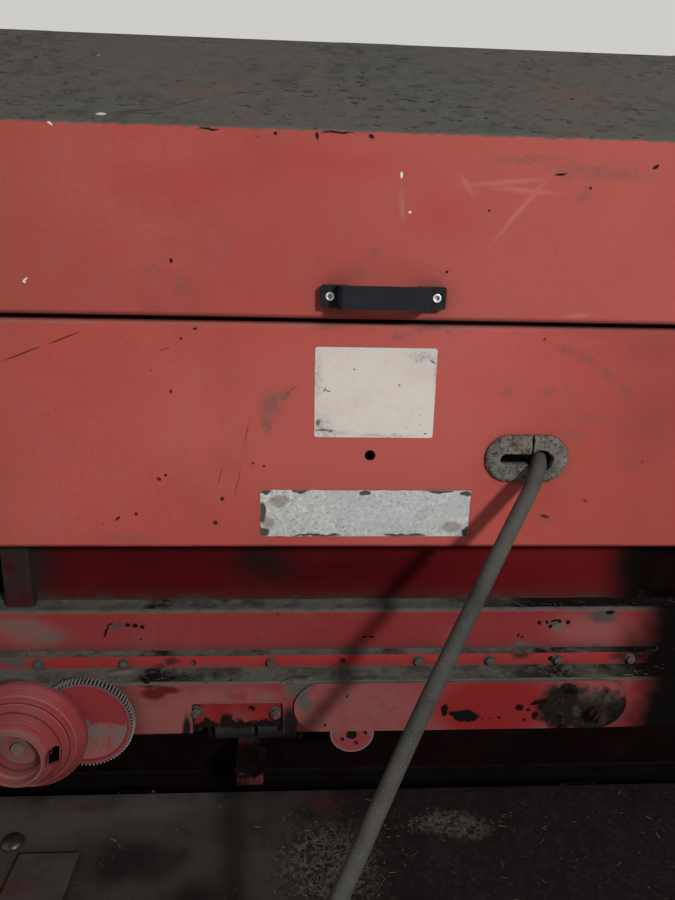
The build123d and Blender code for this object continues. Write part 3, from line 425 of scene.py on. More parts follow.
def settle(coat, colours, amount=1.0, thick=0.3 * MM):
    """Dry dust on what faces up, and dirt with painted shade in the corners."""
    # Darker in corners and gaps: dirt and painted shade.
    coat.layer((coat.nooks(24 * MM), 0.6), shade(colours.dust, 0.35), 0.92)
    cloud = coat.span(coat.noise(12, 0.0, 1.0), 0.30 - 0.45 * amount, 0.55 - 0.25 * amount)
    lying = coat.both(coat.facing("Z", 0.25, 0.75), cloud)
    coat.layer(lying, colours.dust, 0.95)
    coat.layer((lying, coat.noise(48, 0.42, 0.7)), shade(colours.dust, 0.7), height=thick)
    pale, dark = coat.grains(430, 0.34, 0.22)
    coat.layer((lying, pale), shade(colours.dust, 1.45), height=0.2 * MM)
    coat.layer((lying, dark, 0.8), shade(colours.dust, 0.42))
    return lying


def add_object(name, data):
    """Put a mesh, curve, lamp or camera in the scene."""
    item = bpy.data.objects.new(name, data)
    bpy.context.scene.collection.objects.link(item)
    return item


def as_mesh(name, shape):
    """Turn a bmesh into a mesh."""
    mesh = bpy.data.meshes.new(name)
    shape.to_mesh(mesh)
    shape.free()
    return mesh


def add_mesh(name, shape, material, body="frame", smooth=35):
    """Make an object of a bmesh, finish it and hang it on a body. Edges up to that many degrees are smooth."""
    mesh = as_mesh(name, shape)
    mesh.shade_smooth()
    mesh.set_sharp_from_angle(angle=radians(smooth))
    mesh.materials.append(material)
    piece = add_object(name, mesh)
    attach(piece, body)


def as_part(shape):
    """Keep a closed bmesh as a mesh that can be stamped several times."""
    bmesh.ops.remove_doubles(shape, verts=shape.verts, dist=1e-6)
    bmesh.ops.recalc_face_normals(shape, faces=shape.faces)
    return as_mesh("part", shape)


def stamp(shape, part, place, direction=(0, 0, 1), turn=0.0, scale=(1, 1, 1)):
    """Add a copy of a part, with its Z axis along a direction."""
    first = len(shape.verts)
    shape.from_mesh(part)
    shape.verts.ensure_lookup_table()
    at = (Matrix.Translation(place) @ Vector(direction).to_track_quat("Z", "Y").to_matrix().to_4x4()
          @ Matrix.Rotation(turn, 4, "Z") @ Matrix.Diagonal((*scale, 1)))
    bmesh.ops.transform(shape, matrix=at, verts=shape.verts[first:])


def spun(profile, steps):
    """A bmesh made by spinning a profile of (radius, height) points round the Z axis."""
    shape = bmesh.new()
    verts = [shape.verts.new((radius, 0, height)) for radius, height in profile]
    edges = [shape.edges.new(pair) for pair in zip(verts, verts[1:])]
    bmesh.ops.spin(shape, geom=verts + edges, cent=(0, 0, 0), axis=(0, 0, 1), dvec=(0, 0, 0), angle=2 * pi,
                   steps=steps, use_merge=True)
    return shape


def prism(shape, sides, low_radius, high_radius, low, tall):
    """Add an upright prism or cone that starts at a height, and return its points."""
    return bmesh.ops.create_cone(shape, cap_ends=True, segments=sides, radius1=low_radius, radius2=high_radius,
                                 depth=tall, matrix=Matrix.Translation((0, 0, low + tall / 2)))["verts"]


def round_top(shape, verts, level, offset):
    """Bevel the edges among some points that lie above a level."""
    own = {vert for vert in verts if vert.co.z > level}
    bmesh.ops.bevel(shape, geom=[edge for edge in shape.edges if set(edge.verts) <= own], offset=offset, segments=2,
                    profile=0.5, affect="EDGES", material=-1)


def hexagon(across, tall, washer, washer_tall, stub=0.0):
    """A chamfered hexagonal head or nut on its washer, with a thread end if it has one."""
    shape = bmesh.new()
    round_top(shape, prism(shape, 28, washer, washer, 0, washer_tall), washer_tall * 0.9, washer_tall * 0.3)
    radius = across / 2 / cos(pi / 6)
    round_top(shape, prism(shape, 6, radius, radius, washer_tall, tall), washer_tall + tall * 0.9, across * 0.07)
    if stub:
        prism(shape, 20, across * 0.30, across * 0.26, washer_tall + tall, stub)
    return as_part(shape)


def only(items, kind):
    """The items of one kind, such as points, out of what a bmesh operator gives back."""
    return [item for item in items if isinstance(item, kind)]


def socket_screw(radius, tall, socket):
    """A round head with a rounded rim and a hexagonal socket."""
    shape = spun(((0, 0), (radius * 0.96, 0), (radius, tall * 0.1), (radius, tall * 0.82),
                  (radius * 0.95, tall * 0.95), (radius * 0.86, tall), (socket * 1.18, tall)), 36)
    bmesh.ops.remove_doubles(shape, verts=shape.verts, dist=1e-7)
    mouth = [edge for edge in shape.edges if edge.is_boundary]
    made = bmesh.ops.create_circle(shape, cap_ends=False, segments=6, radius=socket,
                                   matrix=Matrix.Translation((0, 0, tall - 0.2 * MM)))
    ring = [edge for edge in shape.edges if set(edge.verts) <= set(made["verts"])]
    bmesh.ops.bridge_loops(shape, edges=mouth + ring)
    grown = bmesh.ops.extrude_edge_only(shape, edges=ring)["geom"]
    bmesh.ops.translate(shape, verts=only(grown, bmesh.types.BMVert), vec=(0, 0, -tall * 0.6))
    bmesh.ops.contextual_create(shape, geom=only(grown, bmesh.types.BMEdge))
    return as_part(shape)


def lump(grain, seed, detail=3):
    """A rough lump, about one across."""
    shape = bmesh.new()
    bmesh.ops.create_icosphere(shape, subdivisions=detail, radius=1.0)
    for vert in shape.verts:
        vert.co *= 1 + grain * noise.noise(vert.co * 1.7 + Vector((seed, 0, 0))) \
            + 0.4 * grain * noise.noise(vert.co * 5.5 + Vector((0, seed, 0)))
    return as_part(shape)


# The rays that see the background and the far floor in their own pale colour
PALE_RAYS = ("Is Camera Ray", "Is Glossy Ray", "Is Transmission Ray")
FLOOR_RADIUS = 14.0
FLOOR_FADE = (1.8, 5.0)     # how far out the floor starts to glow in the background's colour, and does so fully


class TWINEBOX_OT_stage(bpy.types.Operator):
    """Camera, lamps, floor and background"""

    bl_idname = "twine_box.stage"
    bl_label = "Set Stage"

    def execute(self, context):
        scene = context.scene
        stage = scene.twine_box_stage
        camera = add_object("camera", bpy.data.cameras.new("camera"))
        camera.data.lens = stage.camera_lens
        camera.matrix_world = (Matrix.Translation(stage.camera_place)
                               @ Matrix.Rotation(-stage.camera_yaw, 4, "Z")
                               @ Matrix.Rotation(pi / 2 - stage.camera_pitch, 4, "X")
                               @ Matrix.Rotation(stage.camera_roll, 4, "Z"))
        scene.camera = camera

        for name, power, size, place, aim in (
            ("key_lamp", stage.key_power, 0.35, (1.47, -3.10, 1.32), (0.0, -0.3, -0.15)),
            ("top_lamp", stage.top_power, 2.4, (0.2, -0.9, 2.6), (0.0, -0.2, 0.0)),
            ("fill_lamp", stage.fill_power, 2.2, (-2.2, -2.6, 1.2), (0.0, -0.2, 0.0)),
            ("back_lamp", stage.back_power, 2.2, (-1.4, 2.8, 1.4), (0.0, 0.0, 0.0)),
        ):
            lamp = add_object(name, bpy.data.lights.new(name, "AREA"))
            lamp.data.energy = power
            lamp.data.size = size
            lamp.location = place
            lamp.rotation_euler = (Vector(aim) - Vector(place)).to_track_quat("-Z", "Y").to_euler()

        world = bpy.data.worlds.new("world")
        world.use_nodes = True
        nodes, links = world.node_tree.nodes, world.node_tree.links
        light, seen, choose = nodes["Background"], nodes.new("ShaderNodeBackground"), nodes.new("ShaderNodeMixShader")
        light.inputs["Strength"].default_value = stage.world_level
        for source, socket in ((light, choose.inputs[1]), (seen, choose.inputs[2])):
            source.inputs["Color"].default_value = (*stage.floor_colour, 1.0)
            links.new(source.outputs[0], socket)
        path = nodes.new("ShaderNodeLightPath")
        total = path.outputs[PALE_RAYS[0]]
        for ray in PALE_RAYS[1:]:
            either = nodes.new("ShaderNodeMath")
            either.operation = "MAXIMUM"
            links.new(total, either.inputs[0])
            links.new(path.outputs[ray], either.inputs[1])
            total = either.outputs[0]
        links.new(total, choose.inputs["Fac"])
        links.new(choose.outputs[0], nodes["World Output"].inputs["Surface"])
        scene.world = world

        ground = bmesh.new()
        bmesh.ops.create_circle(ground, cap_ends=True, segments=96, radius=FLOOR_RADIUS,
                                matrix=Matrix.Translation((0, 0, cad_box[0].z - stage.floor_gap)))
        mesh = as_mesh("floor", ground)
        pale = Finish("pale_floor", stage.floor_colour, 0.9)
        far = pale.span(pale.vectors("LENGTH", pale.place, output=1), *FLOOR_FADE)
        seen = pale.either(*(pale.node("ShaderNodeLightPath", {}, ray) for ray in PALE_RAYS))
        pale.shader.inputs["Emission Color"].default_value = (*stage.floor_colour, 1.0)
        pale.wire(pale.shader.inputs["Emission Strength"], pale.both(far, seen))
        mesh.materials.append(pale.done())
        add_object("floor", mesh)
        scene.view_settings.view_transform = "Standard"
        return {"FINISHED"}


# The hose's line through the box's grommet and down to the deck, in millimetres
HOSE_ROUTE = (
    (202.0, -262.0, -74.5), (202.0, -287.0, -74.5), (196.5, -311.0, -82.0), (184.0, -332.5, -98.5),
    (157.0, -359.0, -133.5), (103.5, -412.0, -206.5), (18.0, -499.0, -326.0), (-66.0, -587.5, -460.0),
    (-116.0, -645.0, -529.0), (-160.0, -687.0, -562.0), (-196.0, -716.0, -568.7),
)
COIL_CENTRE = (-278.08 * MM, -637.34 * MM)
COIL_START = -43.8          # where the hose joins the coil, in degrees; it winds clockwise


def coil_line(hose):
    """Control points of the coil, from stages of (degrees wound, radius, height above the deck)."""
    half = hose.diameter / 2
    low, high, top = half, 3 * half, 4 * half + 14 * MM
    inner, outer = hose.inner_turn, hose.outer_turn
    stages = (
        (0, outer, low), (300, outer, low), (360, inner, low), (600, inner, low), (660, inner, high),
        (900, inner, high), (960, outer, high), (1026, outer, high), (1090, outer, top),
        (1126, (inner + outer) / 2, top), (1216.2, (inner + outer) / 2, top),
    )
    wound, step, points = 0.0, 360 / hose.turn_points, []
    while wound < stages[-1][0]:
        wound = min(wound + step, stages[-1][0])
        for (a0, r0, h0), (a1, r1, h1) in zip(stages, stages[1:]):
            if a0 <= wound <= a1:
                part = (wound - a0) / (a1 - a0)
                part = part * part * (3 - 2 * part)
                radius, height = r0 + (r1 - r0) * part, h0 + (h1 - h0) * part
                break
        angle = radians(COIL_START - wound)
        points.append((COIL_CENTRE[0] + radius * cos(angle), COIL_CENTRE[1] + radius * sin(angle), deck_top + height))
    points.append((points[-1][0], points[-1][1] + 12 * MM, points[-1][2]))
    return points


class TWINEBOX_OT_hose(bpy.types.Operator):
    """Hose out of the grommet, down past the beams and into its coil on the deck"""

    bl_idname = "twine_box.hose"
    bl_label = "Add Hose"

    def execute(self, context):
        hose = context.scene.twine_box_hose
        colours = context.scene.twine_box_colours
        dust, oil = tints(colours, "dust", "oil")
        points = [tuple(part * MM for part in point) for point in HOSE_ROUTE] + coil_line(hose)
        curve = bpy.data.curves.new("hydraulic_hose", "CURVE")
        curve.dimensions = "3D"
        curve.bevel_depth = hose.diameter / 2
        curve.bevel_resolution = 5
        curve.resolution_u = 10
        curve.use_fill_caps = True
        line = curve.splines.new("NURBS")
        line.points.add(len(points) - 1)
        for control, point in zip(line.points, points):
            control.co = (*point, 1.0)
        line.order_u = 3
        line.use_endpoint_u = True

        rubber = Finish("hose_rubber_dusty", colours.hose_grey, 0.75, shine=0.04)
        rubber.layer((rubber.noise(36, 0.42, 0.72), 0.8), shade(colours.hose_grey, 0.66), 0.65)
        rubber.layer((rubber.noise(9, 0.44, 0.75, at=(3, 0, 0)), 0.6), dust(1.05), 0.9)
        rubber.layer((rubber.facing("Z", 0.2, 0.9), rubber.noise(24, 0.38, 0.66), 0.6), dust(0.95), 0.95)
        pale, dark = rubber.grains(380, 0.30, 0.20)
        rubber.layer((pale, 0.8), dust(1.6), 0.9)
        rubber.layer(dark, oil(1.2), 0.6)
        rubber.layer(rubber.noise(900, 0.3, 0.7, detail=2), height=0.12 * MM)
        curve.materials.append(rubber.done())

        piece = add_object("hydraulic_hose", curve)
        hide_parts("hose", "hose_coil")
        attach(piece, "frame")
        return {"FINISHED"}


class TWINEBOX_OT_box_paint(bpy.types.Operator):
    """Faded paint, marks and dust on the lid, front panel and box, with some painted light and shade"""

    bl_idname = "twine_box.box_paint"
    bl_label = "Paint Box"

    def execute(self, context):
        colours = context.scene.twine_box_colours
        dust, oil, rust = tints(colours, "dust", "oil", "rust")
        red = colours.lid_red
        pale = blend(red, (0.62, 0.36, 0.31), 0.30)
        smudge = blend(red, colours.dust, 0.72)
        dark = oil(1.5)

        lid = old_paint("lid_paint_faded", red, colours)
        lid.layer((lid.span(lid.along("X"), -0.42, 0.3), 0.6), blend(red, (0.42, 0.21, 0.19), 0.1))
        lid.layer((lid.span(lid.along("X"), -0.25, -0.5), 0.5), blend(red, (0.22, 0.09, 0.055), 0.5))
        lid.layer((lid.spots(((-230, 235, 110, 26), (-60, 255, 130, 22), (60, 210, 60, 30)), warp=50, wave=9,
                             full=0.9), 0.5), blend(red, (0.34, 0.04, 0.036), 0.7), 0.5)
        lid.layer((lid.strokes((((191, 261), (108, 160)), ((97, 233), (208, 226)), ((69, 232), (190, 243)),
                                ((77, 248), (98, 219)), ((15, 233), (20, 186)), ((205, 94), (250, 98))), 4.6,
                               full=0.9), 0.42), pale, 0.6)
        lid.layer(lid.spots(((-354, 283, 6, 1.6, -45), (15.8, 241.7, 1.8, 4.5), (26.4, 204, 2.2, 1.6),
                             (-394.5, 122.3, 1.6, 2.6), (-394, 124, 5, 1.2, 40)), warp=3), (0.62, 0.6, 0.56), 0.7)
        lid.layer((lid.spots(((-258, 136, 13, 10), (-226, 120, 11, 13), (219, 225, 13, 12), (203, 247, 14, 5, 12),
                              (-29, 142, 9, 7), (-10.5, 160, 8, 7), (150, 262, 60, 6, 4), (240, 250, 90, 14, -4)),
                             warp=22, wave=90, full=0.9), lid.noise(240, 0.25, 0.6), 0.6), smudge, 0.85)
        lid.layer(lid.spots(((-235, 147, 2.4, 3.4), (-76.5, 277.7, 2.2, 6), (-19, 279.4, 4, 3, -35),
                             (295.4, 257.5, 5, 2.6, 30), (114, 207.4, 2.2, 1.6), (225.5, 234, 2, 1.6),
                             (71.5, 141.5, 2, 1.6), (190, 247, 9, 2, 10), (-120, 279, 3, 2.4), (-190, 281, 14, 1.6),
                             (-55, 282, 22, 1.8)), warp=5, wave=90), dark, 0.8)
        front = lid.facing("Y", 0.5, 0.9, -1)
        # Pale line along the crown: dust, and a painted highlight of the crown's edge.
        crown_dust_and_highlight = lid.span(lid.ragged("Z", 60, 3 * MM), lid_crown - 1.2 * MM, lid_crown + 1.6 * MM)
        lid.layer((front, crown_dust_and_highlight), colours.dust, 0.95, 0.3 * MM)
        # Painted shade along the lid's lower edge, above the seam.
        seam_shade_line = lid.span(lid.along("Z"), lid_low.z + 6 * MM, lid_low.z + 0.5 * MM)
        lid.layer((front, seam_shade_line, 0.6), shade(red, 0.6), 0.8)
        lying = settle(lid, colours, 1.5, 0.4 * MM)
        lid.layer((lying, lid.noise(4, 0.46, 0.62, at=(1, 3, 0)), 0.6), blend(colours.dust, red, 0.04), 0.9)
        lid.layer((lying, lid.spots(((-90, -140, 24, 16), (-121, -212, 12, 16, 60), (-195, -215, 60, 30, 10),
                                     (240, -190, 70, 60)), "XY", warp=30, full=0.9), lid.noise(80, 0.35, 0.65), 0.8),
                  blend(colours.dust, red, 0.2), 0.85)
        lid.layer((lying, lid.strokes((((-79, -100), (-119, -210)), ((-119, -210), (-142, -280))), 15, "XY", 16,
                                      full=0.9), 0.55), dust(0.62), 0.9)
        lid.layer((lying, lid.strokes((((-300, -278), (-240, -262)), ((-240, -262), (-190, -222)),
                                       ((-190, -222), (-130, -205)), ((-300, -278), (-228, -274))), 1.1, "XY", 8),
                   0.8), oil(2.0), height=0.5 * MM)
        lid.layer(lid.spots(((-411, -116, 4, 3.4), (-352, -111, 5, 3), (-305, -282, 7, 4)), "XY", warp=4),
                  (0.5, 0.5, 0.46), 0.7)
        lid.layer((lying, lid.noise(150, 0.61, 0.66, detail=2, stretch=(2.0, 1, 1)),
                   lid.noise(7, 0.34, 0.62, at=(6, 1, 2)), 0.85), oil(1.8), height=0.5 * MM)
        dress(lid.done(), "lid", "lid_ribs")

        panel = old_paint("panel_paint_faded", shade(red, 1.10), colours)
        panel.layer((panel.span(panel.along("X"), -0.36, -0.5), 0.6), blend(red, (0.24, 0.075, 0.05), 0.6))
        panel.layer((panel.spots(((-20, -30, 330, 150),), warp=60, wave=9, full=0.8), 0.6),
                    blend(shade(red, 1.12), (0.5, 0.22, 0.2), 0.14))
        # Darker and browner towards the right: painted shade of the light falling off.
        panel.layer((panel.spots(((337, -27, 70, 90), (267, 85, 110, 26), (420, 20, 110, 150), (330, 60, 70, 40)),
                                 warp=40, wave=9, full=0.9), 0.75), blend(shade(red, 0.8), (0.16, 0.05, 0.075), 0.35),
                    0.75)
        panel.layer((panel.strokes((((-430, 33), (-379, 53)), ((-379, 53), (-337, 69))), 1.2, warp=2), 0.9),
                    rust(0.7), 0.8)
        panel.layer((panel.strokes((((-162, -89), (-172, -130)), ((-184, -87), (-192, -116)), ((-95, 12), (-112, -4)),
                                    ((-254, 48), (-239, 53)), ((-152, -30), (-158, -62))), 0.9, warp=2), 0.7),
                    shade(red, 0.32), 0.8)
        rubbed = panel.noise(260, 0.25, 0.60)
        panel.layer((panel.spots(((-126.4, -11.9, 19, 26), (-110, 0, 22, 8, 35), (-132, -34, 10, 22, 15)), warp=20,
                                 wave=90, full=0.9), rubbed, 0.95), smudge, 0.88)
        panel.layer((panel.strokes((((200, 61), (236, 52)), ((228, 55), (262, 36)), ((255, 40), (290, 15)),
                                    ((283, 21), (316, -6))), 9, warp=9, full=0.9), rubbed, 0.75), smudge, 0.88)
        panel.layer((panel.spots(((314, -84, 20, 14), (219, -154, 17, 8, -15), (151, 3, 13, 10), (201, 7, 14, 8),
                                  (23, 69, 18, 7), (-60, 78, 40, 5), (60, 78, 70, 5), (257, -27, 26, 12),
                                  (238, -46, 20, 12), (186, -128, 16, 30), (-300, -180, 60, 6)), warp=22, wave=90,
                                 full=0.9), rubbed, 0.6), smudge, 0.88)
        panel.layer(panel.spots(((-186, -130, 3.6, 3.8), (-195, -161, 3.8, 4), (-290, -149, 2.6, 3),
                                 (-312, -155, 5, 2.4, 40), (-260, -105, 2.6, 4, 60), (-242, 2, 2.4, 2.6),
                                 (-211, 74, 3.4, 2.2), (264, -130, 3.4, 3), (214, -152, 8, 3, -15), (-148, -84, 2, 2),
                                 (-135, -88, 2, 2), (-252, -100, 2.6, 2.6), (60, -34, 2, 2), (330, -80, 2.6, 2),
                                 (191, 68, 2.4, 2), (-228, 63, 2, 2)), warp=4), blend(dark, red, 0.12), 0.8)
        front = panel.facing("Y", 0.5, 0.9, -1)
        top_line = panel.span(panel.ragged("Z", 45, 2.4 * MM), panel_top - 2.4 * MM, panel_top - 0.6 * MM)
        panel.layer((top_line, front, 0.85), blend(dust(1.9), red, 0.12), 0.95, 0.25 * MM)
        low_line = panel.span(panel.along("Z"), *PANEL_FOOT)
        panel.layer((low_line, front, panel.noise(40, 0.3, 0.6)), shade(red, 0.35), 0.8)
        # Darker towards the right: painted shade of the light falling off.
        panel.layer((panel.span(panel.along("X"), 0.1, 0.4), 0.6), shade(red, 0.72))
        # Darker in corners and gaps: dirt and painted shade.
        panel.layer((panel.nooks(24 * MM), 0.6), dust(0.35), 0.92)
        dress(panel.done(), "front_panel")

        box = old_paint("box_paint_rusty", shade(colours.beam_red, 0.95), colours, 0.6, 1.4, 0.5)
        box.layer((box.noise(16, 0.52, 0.72, at=(0, 3, 0), stretch=(1, 1, 14)), 0.55), rust(0.9), 0.85)
        box.layer((box.span(box.along("Z"), -0.35, -0.62), box.noise(9, 0.3, 0.62), 0.9), dust(0.55), 0.95, 0.3 * MM)
        settle(box, colours)
        dress(box.done(), "side_plate_left", "side_plate_right", "box_rear_wall", "box_floor")
        return {"FINISHED"}


class TWINEBOX_OT_beam_paint(bpy.types.Operator):
    """Worn paint and dust on the beams, strips and brackets, with painted shadow at the right end and painted light
    on the strip and edges
    """

    bl_idname = "twine_box.beam_paint"
    bl_label = "Paint Beams"

    def execute(self, context):
        colours = context.scene.twine_box_colours
        dust, oil = tints(colours, "dust", "oil")
        red = colours.beam_red
        pit = oil(0.6)
        grey = blend(dust(1.1), red, 0.1)
        pinkish = blend(red, (0.22, 0.115, 0.105), 0.55)
        # Pale pink for the rubbed edges of the beams: worn paint, and painted highlights along the edges.
        rubbed = blend(red, (0.34, 0.22, 0.19), 0.55)

        def shadowed_end(coat, start, reach=0.06):
            """Painted shadow near the right end, in the colour of dark oil."""
            coat.layer(coat.right_end_shadow(14, start, start + reach), oil(0.35), 0.85)

        upper = old_paint("upper_beam_paint", red, colours, 0.6, 1.3, rub=rubbed, shine=0.03)
        upper.layer((upper.spots(((-452, -320, 70, 22), (-441, -330, 60, 40), (312, -327, 90, 44)), warp=26, wave=9,
                                 full=0.8), 0.7), pinkish, 0.85)
        upper.layer((upper.spots(((-455, -316, 44, 16), (-420, -334, 40, 14), (212, -352, 28, 12),
                                  (256, -318, 20, 12)), warp=26, full=0.8), upper.noise(170, 0.25, 0.6), 0.85), grey,
                    0.9)
        upper.layer((upper.spots(((-331, -316, 13, 6), (252, -316, 14, 8), (320, -305, 26, 18)), warp=12, wave=90,
                                 full=0.6), 0.9), dust(0.62), 0.9)
        upper.layer(upper.spots(((-316.5, -315, 4.6, 4.2), (-307, -315.6, 4.6, 4.2), (-297.5, -317.6, 4.2, 3.8),
                                 (-345, -325, 2.2, 12, -24), (-340, -314, 7, 1.8, 30), (234, -315.4, 4, 4.2),
                                 (273, -315.7, 4, 4.2), (249, -322, 4, 4.2, 20), (244, -314, 3, 4),
                                 (256, -312, 8, 2.6, 8), (262, -314, 4, 3.4), (-4, -335, 5, 1.8), (6, -335.4, 6, 2),
                                 (206, -334, 2, 4, -30), (211, -338, 3, 2), (330, -300, 8, 4), (-120, -300, 2, 1.6),
                                 (-300, -336, 2, 1.6)), warp=5, wave=90), pit, 0.9)
        upper.layer((upper.span(upper.ragged("Z", 60, 7 * MM), *BEAM_FOOT), 0.9), dust(0.7), 0.95)
        settle(upper, colours, 1.1)
        # Painted shadow at the right end.
        shadowed_end(upper, 0.345, 0.07)
        dress(upper.done(), "cross_beam")

        lower = old_paint("lower_beam_paint", red, colours, 0.58, 1.3, rub=rubbed, shine=0.03)
        front = lower.facing("Y", 0.5, 0.9, -1)
        # The upper band of the lower beam's front is brightened 1.6 times: painted light that lifts the cross beam's
        # shadow.
        lower.layer((lower.span(lower.along("Z"), *STRIP_FOOT), front), shade(colours.strip_red, 1.6), 0.5)
        lower.layer((lower.spots(((-230, -415, 170, 60), (-320, -400, 60, 30), (-150, -392, 60, 14)), warp=26, wave=9,
                                 full=0.7), lower.noise(40, 0.15, 0.6), 0.8), pinkish, 0.85)
        lower.layer((lower.noise(34, 0.5, 0.72, at=(1, 1, 1)), front, 0.45), grey, 0.85)
        lower.layer((lower.spots(((-277, -390, 22, 13), (-262, -383, 26, 8)), warp=12, full=0.6), 0.85),
                    shade(colours.strip_red, 0.3), 0.4)
        lower.layer((lower.spots(((-281, -374, 24, 8), (-259, -362, 18, 9), (208, -357, 20, 8), (357, -361, 40, 13)),
                                 warp=16, wave=90, full=0.8), 0.8), oil(1.3), 0.5)
        lower.layer(lower.spots(((-200, -430, 34, 30), (-104, -436, 18, 34), (-236, -446, 8, 34)), warp=18, full=0.6,
                                rim=0.05), oil(1.4), 0.45)
        lower.layer((lower.spots(((-93, -385, 22, 18, 50), (-463, -360, 26, 9), (20, -376, 70, 5),
                                  (-60, -378, 60, 5)), warp=16), 0.9), dust(0.9), 0.95)
        lower.layer((lower.span(lower.ragged("Z", 70, 6 * MM), *STRIP_DUST_TOP),
                     lower.span(lower.along("Z"), *STRIP_DUST_FOOT), front, 0.9), dust(0.8), 0.95)
        settle(lower, colours, 1.25)
        # Painted shadow at the right end.
        shadowed_end(lower, 0.340)
        dress(lower.done(), "lower_beam")

        guide = old_paint("guide_paint", blend(red, pinkish, 0.35), colours, 0.6, 1.3, rub=rubbed, shine=0.03)
        guide.layer((guide.spots(((-20, -412, 130, 60),), warp=30, wave=9, full=0.6), guide.noise(50, 0.2, 0.6), 0.7),
                    pinkish, 0.85)
        guide.layer(guide.spots(((165, -412, 110, 70),), warp=34, wave=9, full=0.5, rim=0.05), colours.strip_red, 0.5)
        guide.layer((guide.spots(((-32, -402, 16, 10), (20, -420, 18, 9), (-70, -432, 20, 8)), warp=16, full=0.9),
                     guide.noise(200, 0.3, 0.6), 0.7), grey, 0.85)
        guide.layer(guide.spots(((129, -425, 21, 11, -8), (116, -421, 12, 6), (100, -417, 5, 10), (200, -414, 8, 6),
                                 (222, -408, 9, 4, 15), (223, -427, 5, 8), (213, -417, 4, 2.6), (162, -430, 2.6, 2),
                                 (152, -431, 2, 2), (173, -429, 2.6, 2), (140, -432, 4, 2.6), (208, -432, 2.4, 2),
                                 (-58, -437, 2, 2.6), (-30, -392, 2, 1.8), (64, -420, 2.2, 1.8)), warp=9, wave=90,
                                full=0.35), pit, 0.9)
        greasy = guide.spots(((262, -414, 50, 50), (306, -424, 56, 48), (262, -394, 30, 26), (340, -430, 50, 40)),
                             warp=24, wave=90, full=0.42, rim=0.1)
        guide.layer(greasy, (0.0115, 0.0078, 0.0064), 0.8)
        guide.layer((greasy, guide.noise(110, 0.5, 0.7, at=(1, 0, 2))), (0.026, 0.0185, 0.0145), 0.9, 0.8 * MM)
        guide.layer((greasy, guide.noise(60, 0.52, 0.66, at=(0, 0, 7))), (0.0045, 0.0032, 0.003), 0.6)
        guide.layer((guide.spots(((296, -396, 26, 16), (322, -402, 20, 14), (280, -420, 10, 12)), warp=14, full=0.8),
                     guide.noise(140, 0.3, 0.6), 0.8), blend(dust(0.62), red, 0.12), 0.9)
        guide.layer((guide.spots(((-92, -386, 24, 16, 35), (-84, -402, 12, 16, 20)), warp=16, wave=90), 0.9),
                    dust(0.85), 0.95)
        settle(guide, colours, 1.2)
        # Painted shadow at the right end.
        shadowed_end(guide, 0.325)
        dress(guide.done(), "guide_plate")

        # Brightened 1.6 times: painted light that lifts the cross beam's shadow off the strip.
        strip = old_paint("strip_paint", shade(colours.strip_red, 1.6), colours, 0.5, 1.4, rub=rubbed, shine=0.03)
        settle(strip, colours, 1.3)
        # Painted shadow at the right end.
        shadowed_end(strip, 0.335)
        dress(strip.done(), "packing_strip")

        bracket = old_paint("bracket_paint_oily", shade(colours.strip_red, 0.92), colours, 0.42, 1.4)
        bracket.layer(bracket.span(bracket.ragged("Z", 32, 22 * MM), *NOTCH_FOOT), oil(1.0), 0.4)
        bracket.layer((bracket.spots(((-227, -414, 12, 24), (-121, -425, 10, 16), (-160, -402, 6, 5)), warp=12), 0.8),
                      oil(1.1), 0.5)
        bracket.layer((bracket.noise(24, 0.6, 0.74), 0.6), dust(0.5), 0.9)
        dress(bracket.done(), "roller_bracket")

        cutter = old_paint("cutter_paint_greasy", shade(colours.shade_red, 0.6), colours, 0.5, 1.2)
        cutter.layer(cutter.noise(22, 0.3, 0.52), oil(0.9), 0.4, 0.5 * MM)
        cutter.layer((cutter.noise(40, 0.5, 0.66), 0.6), dust(0.35), 0.9)
        dress(cutter.done(), "cutter_bracket", "wheel_strap")
        return {"FINISHED"}


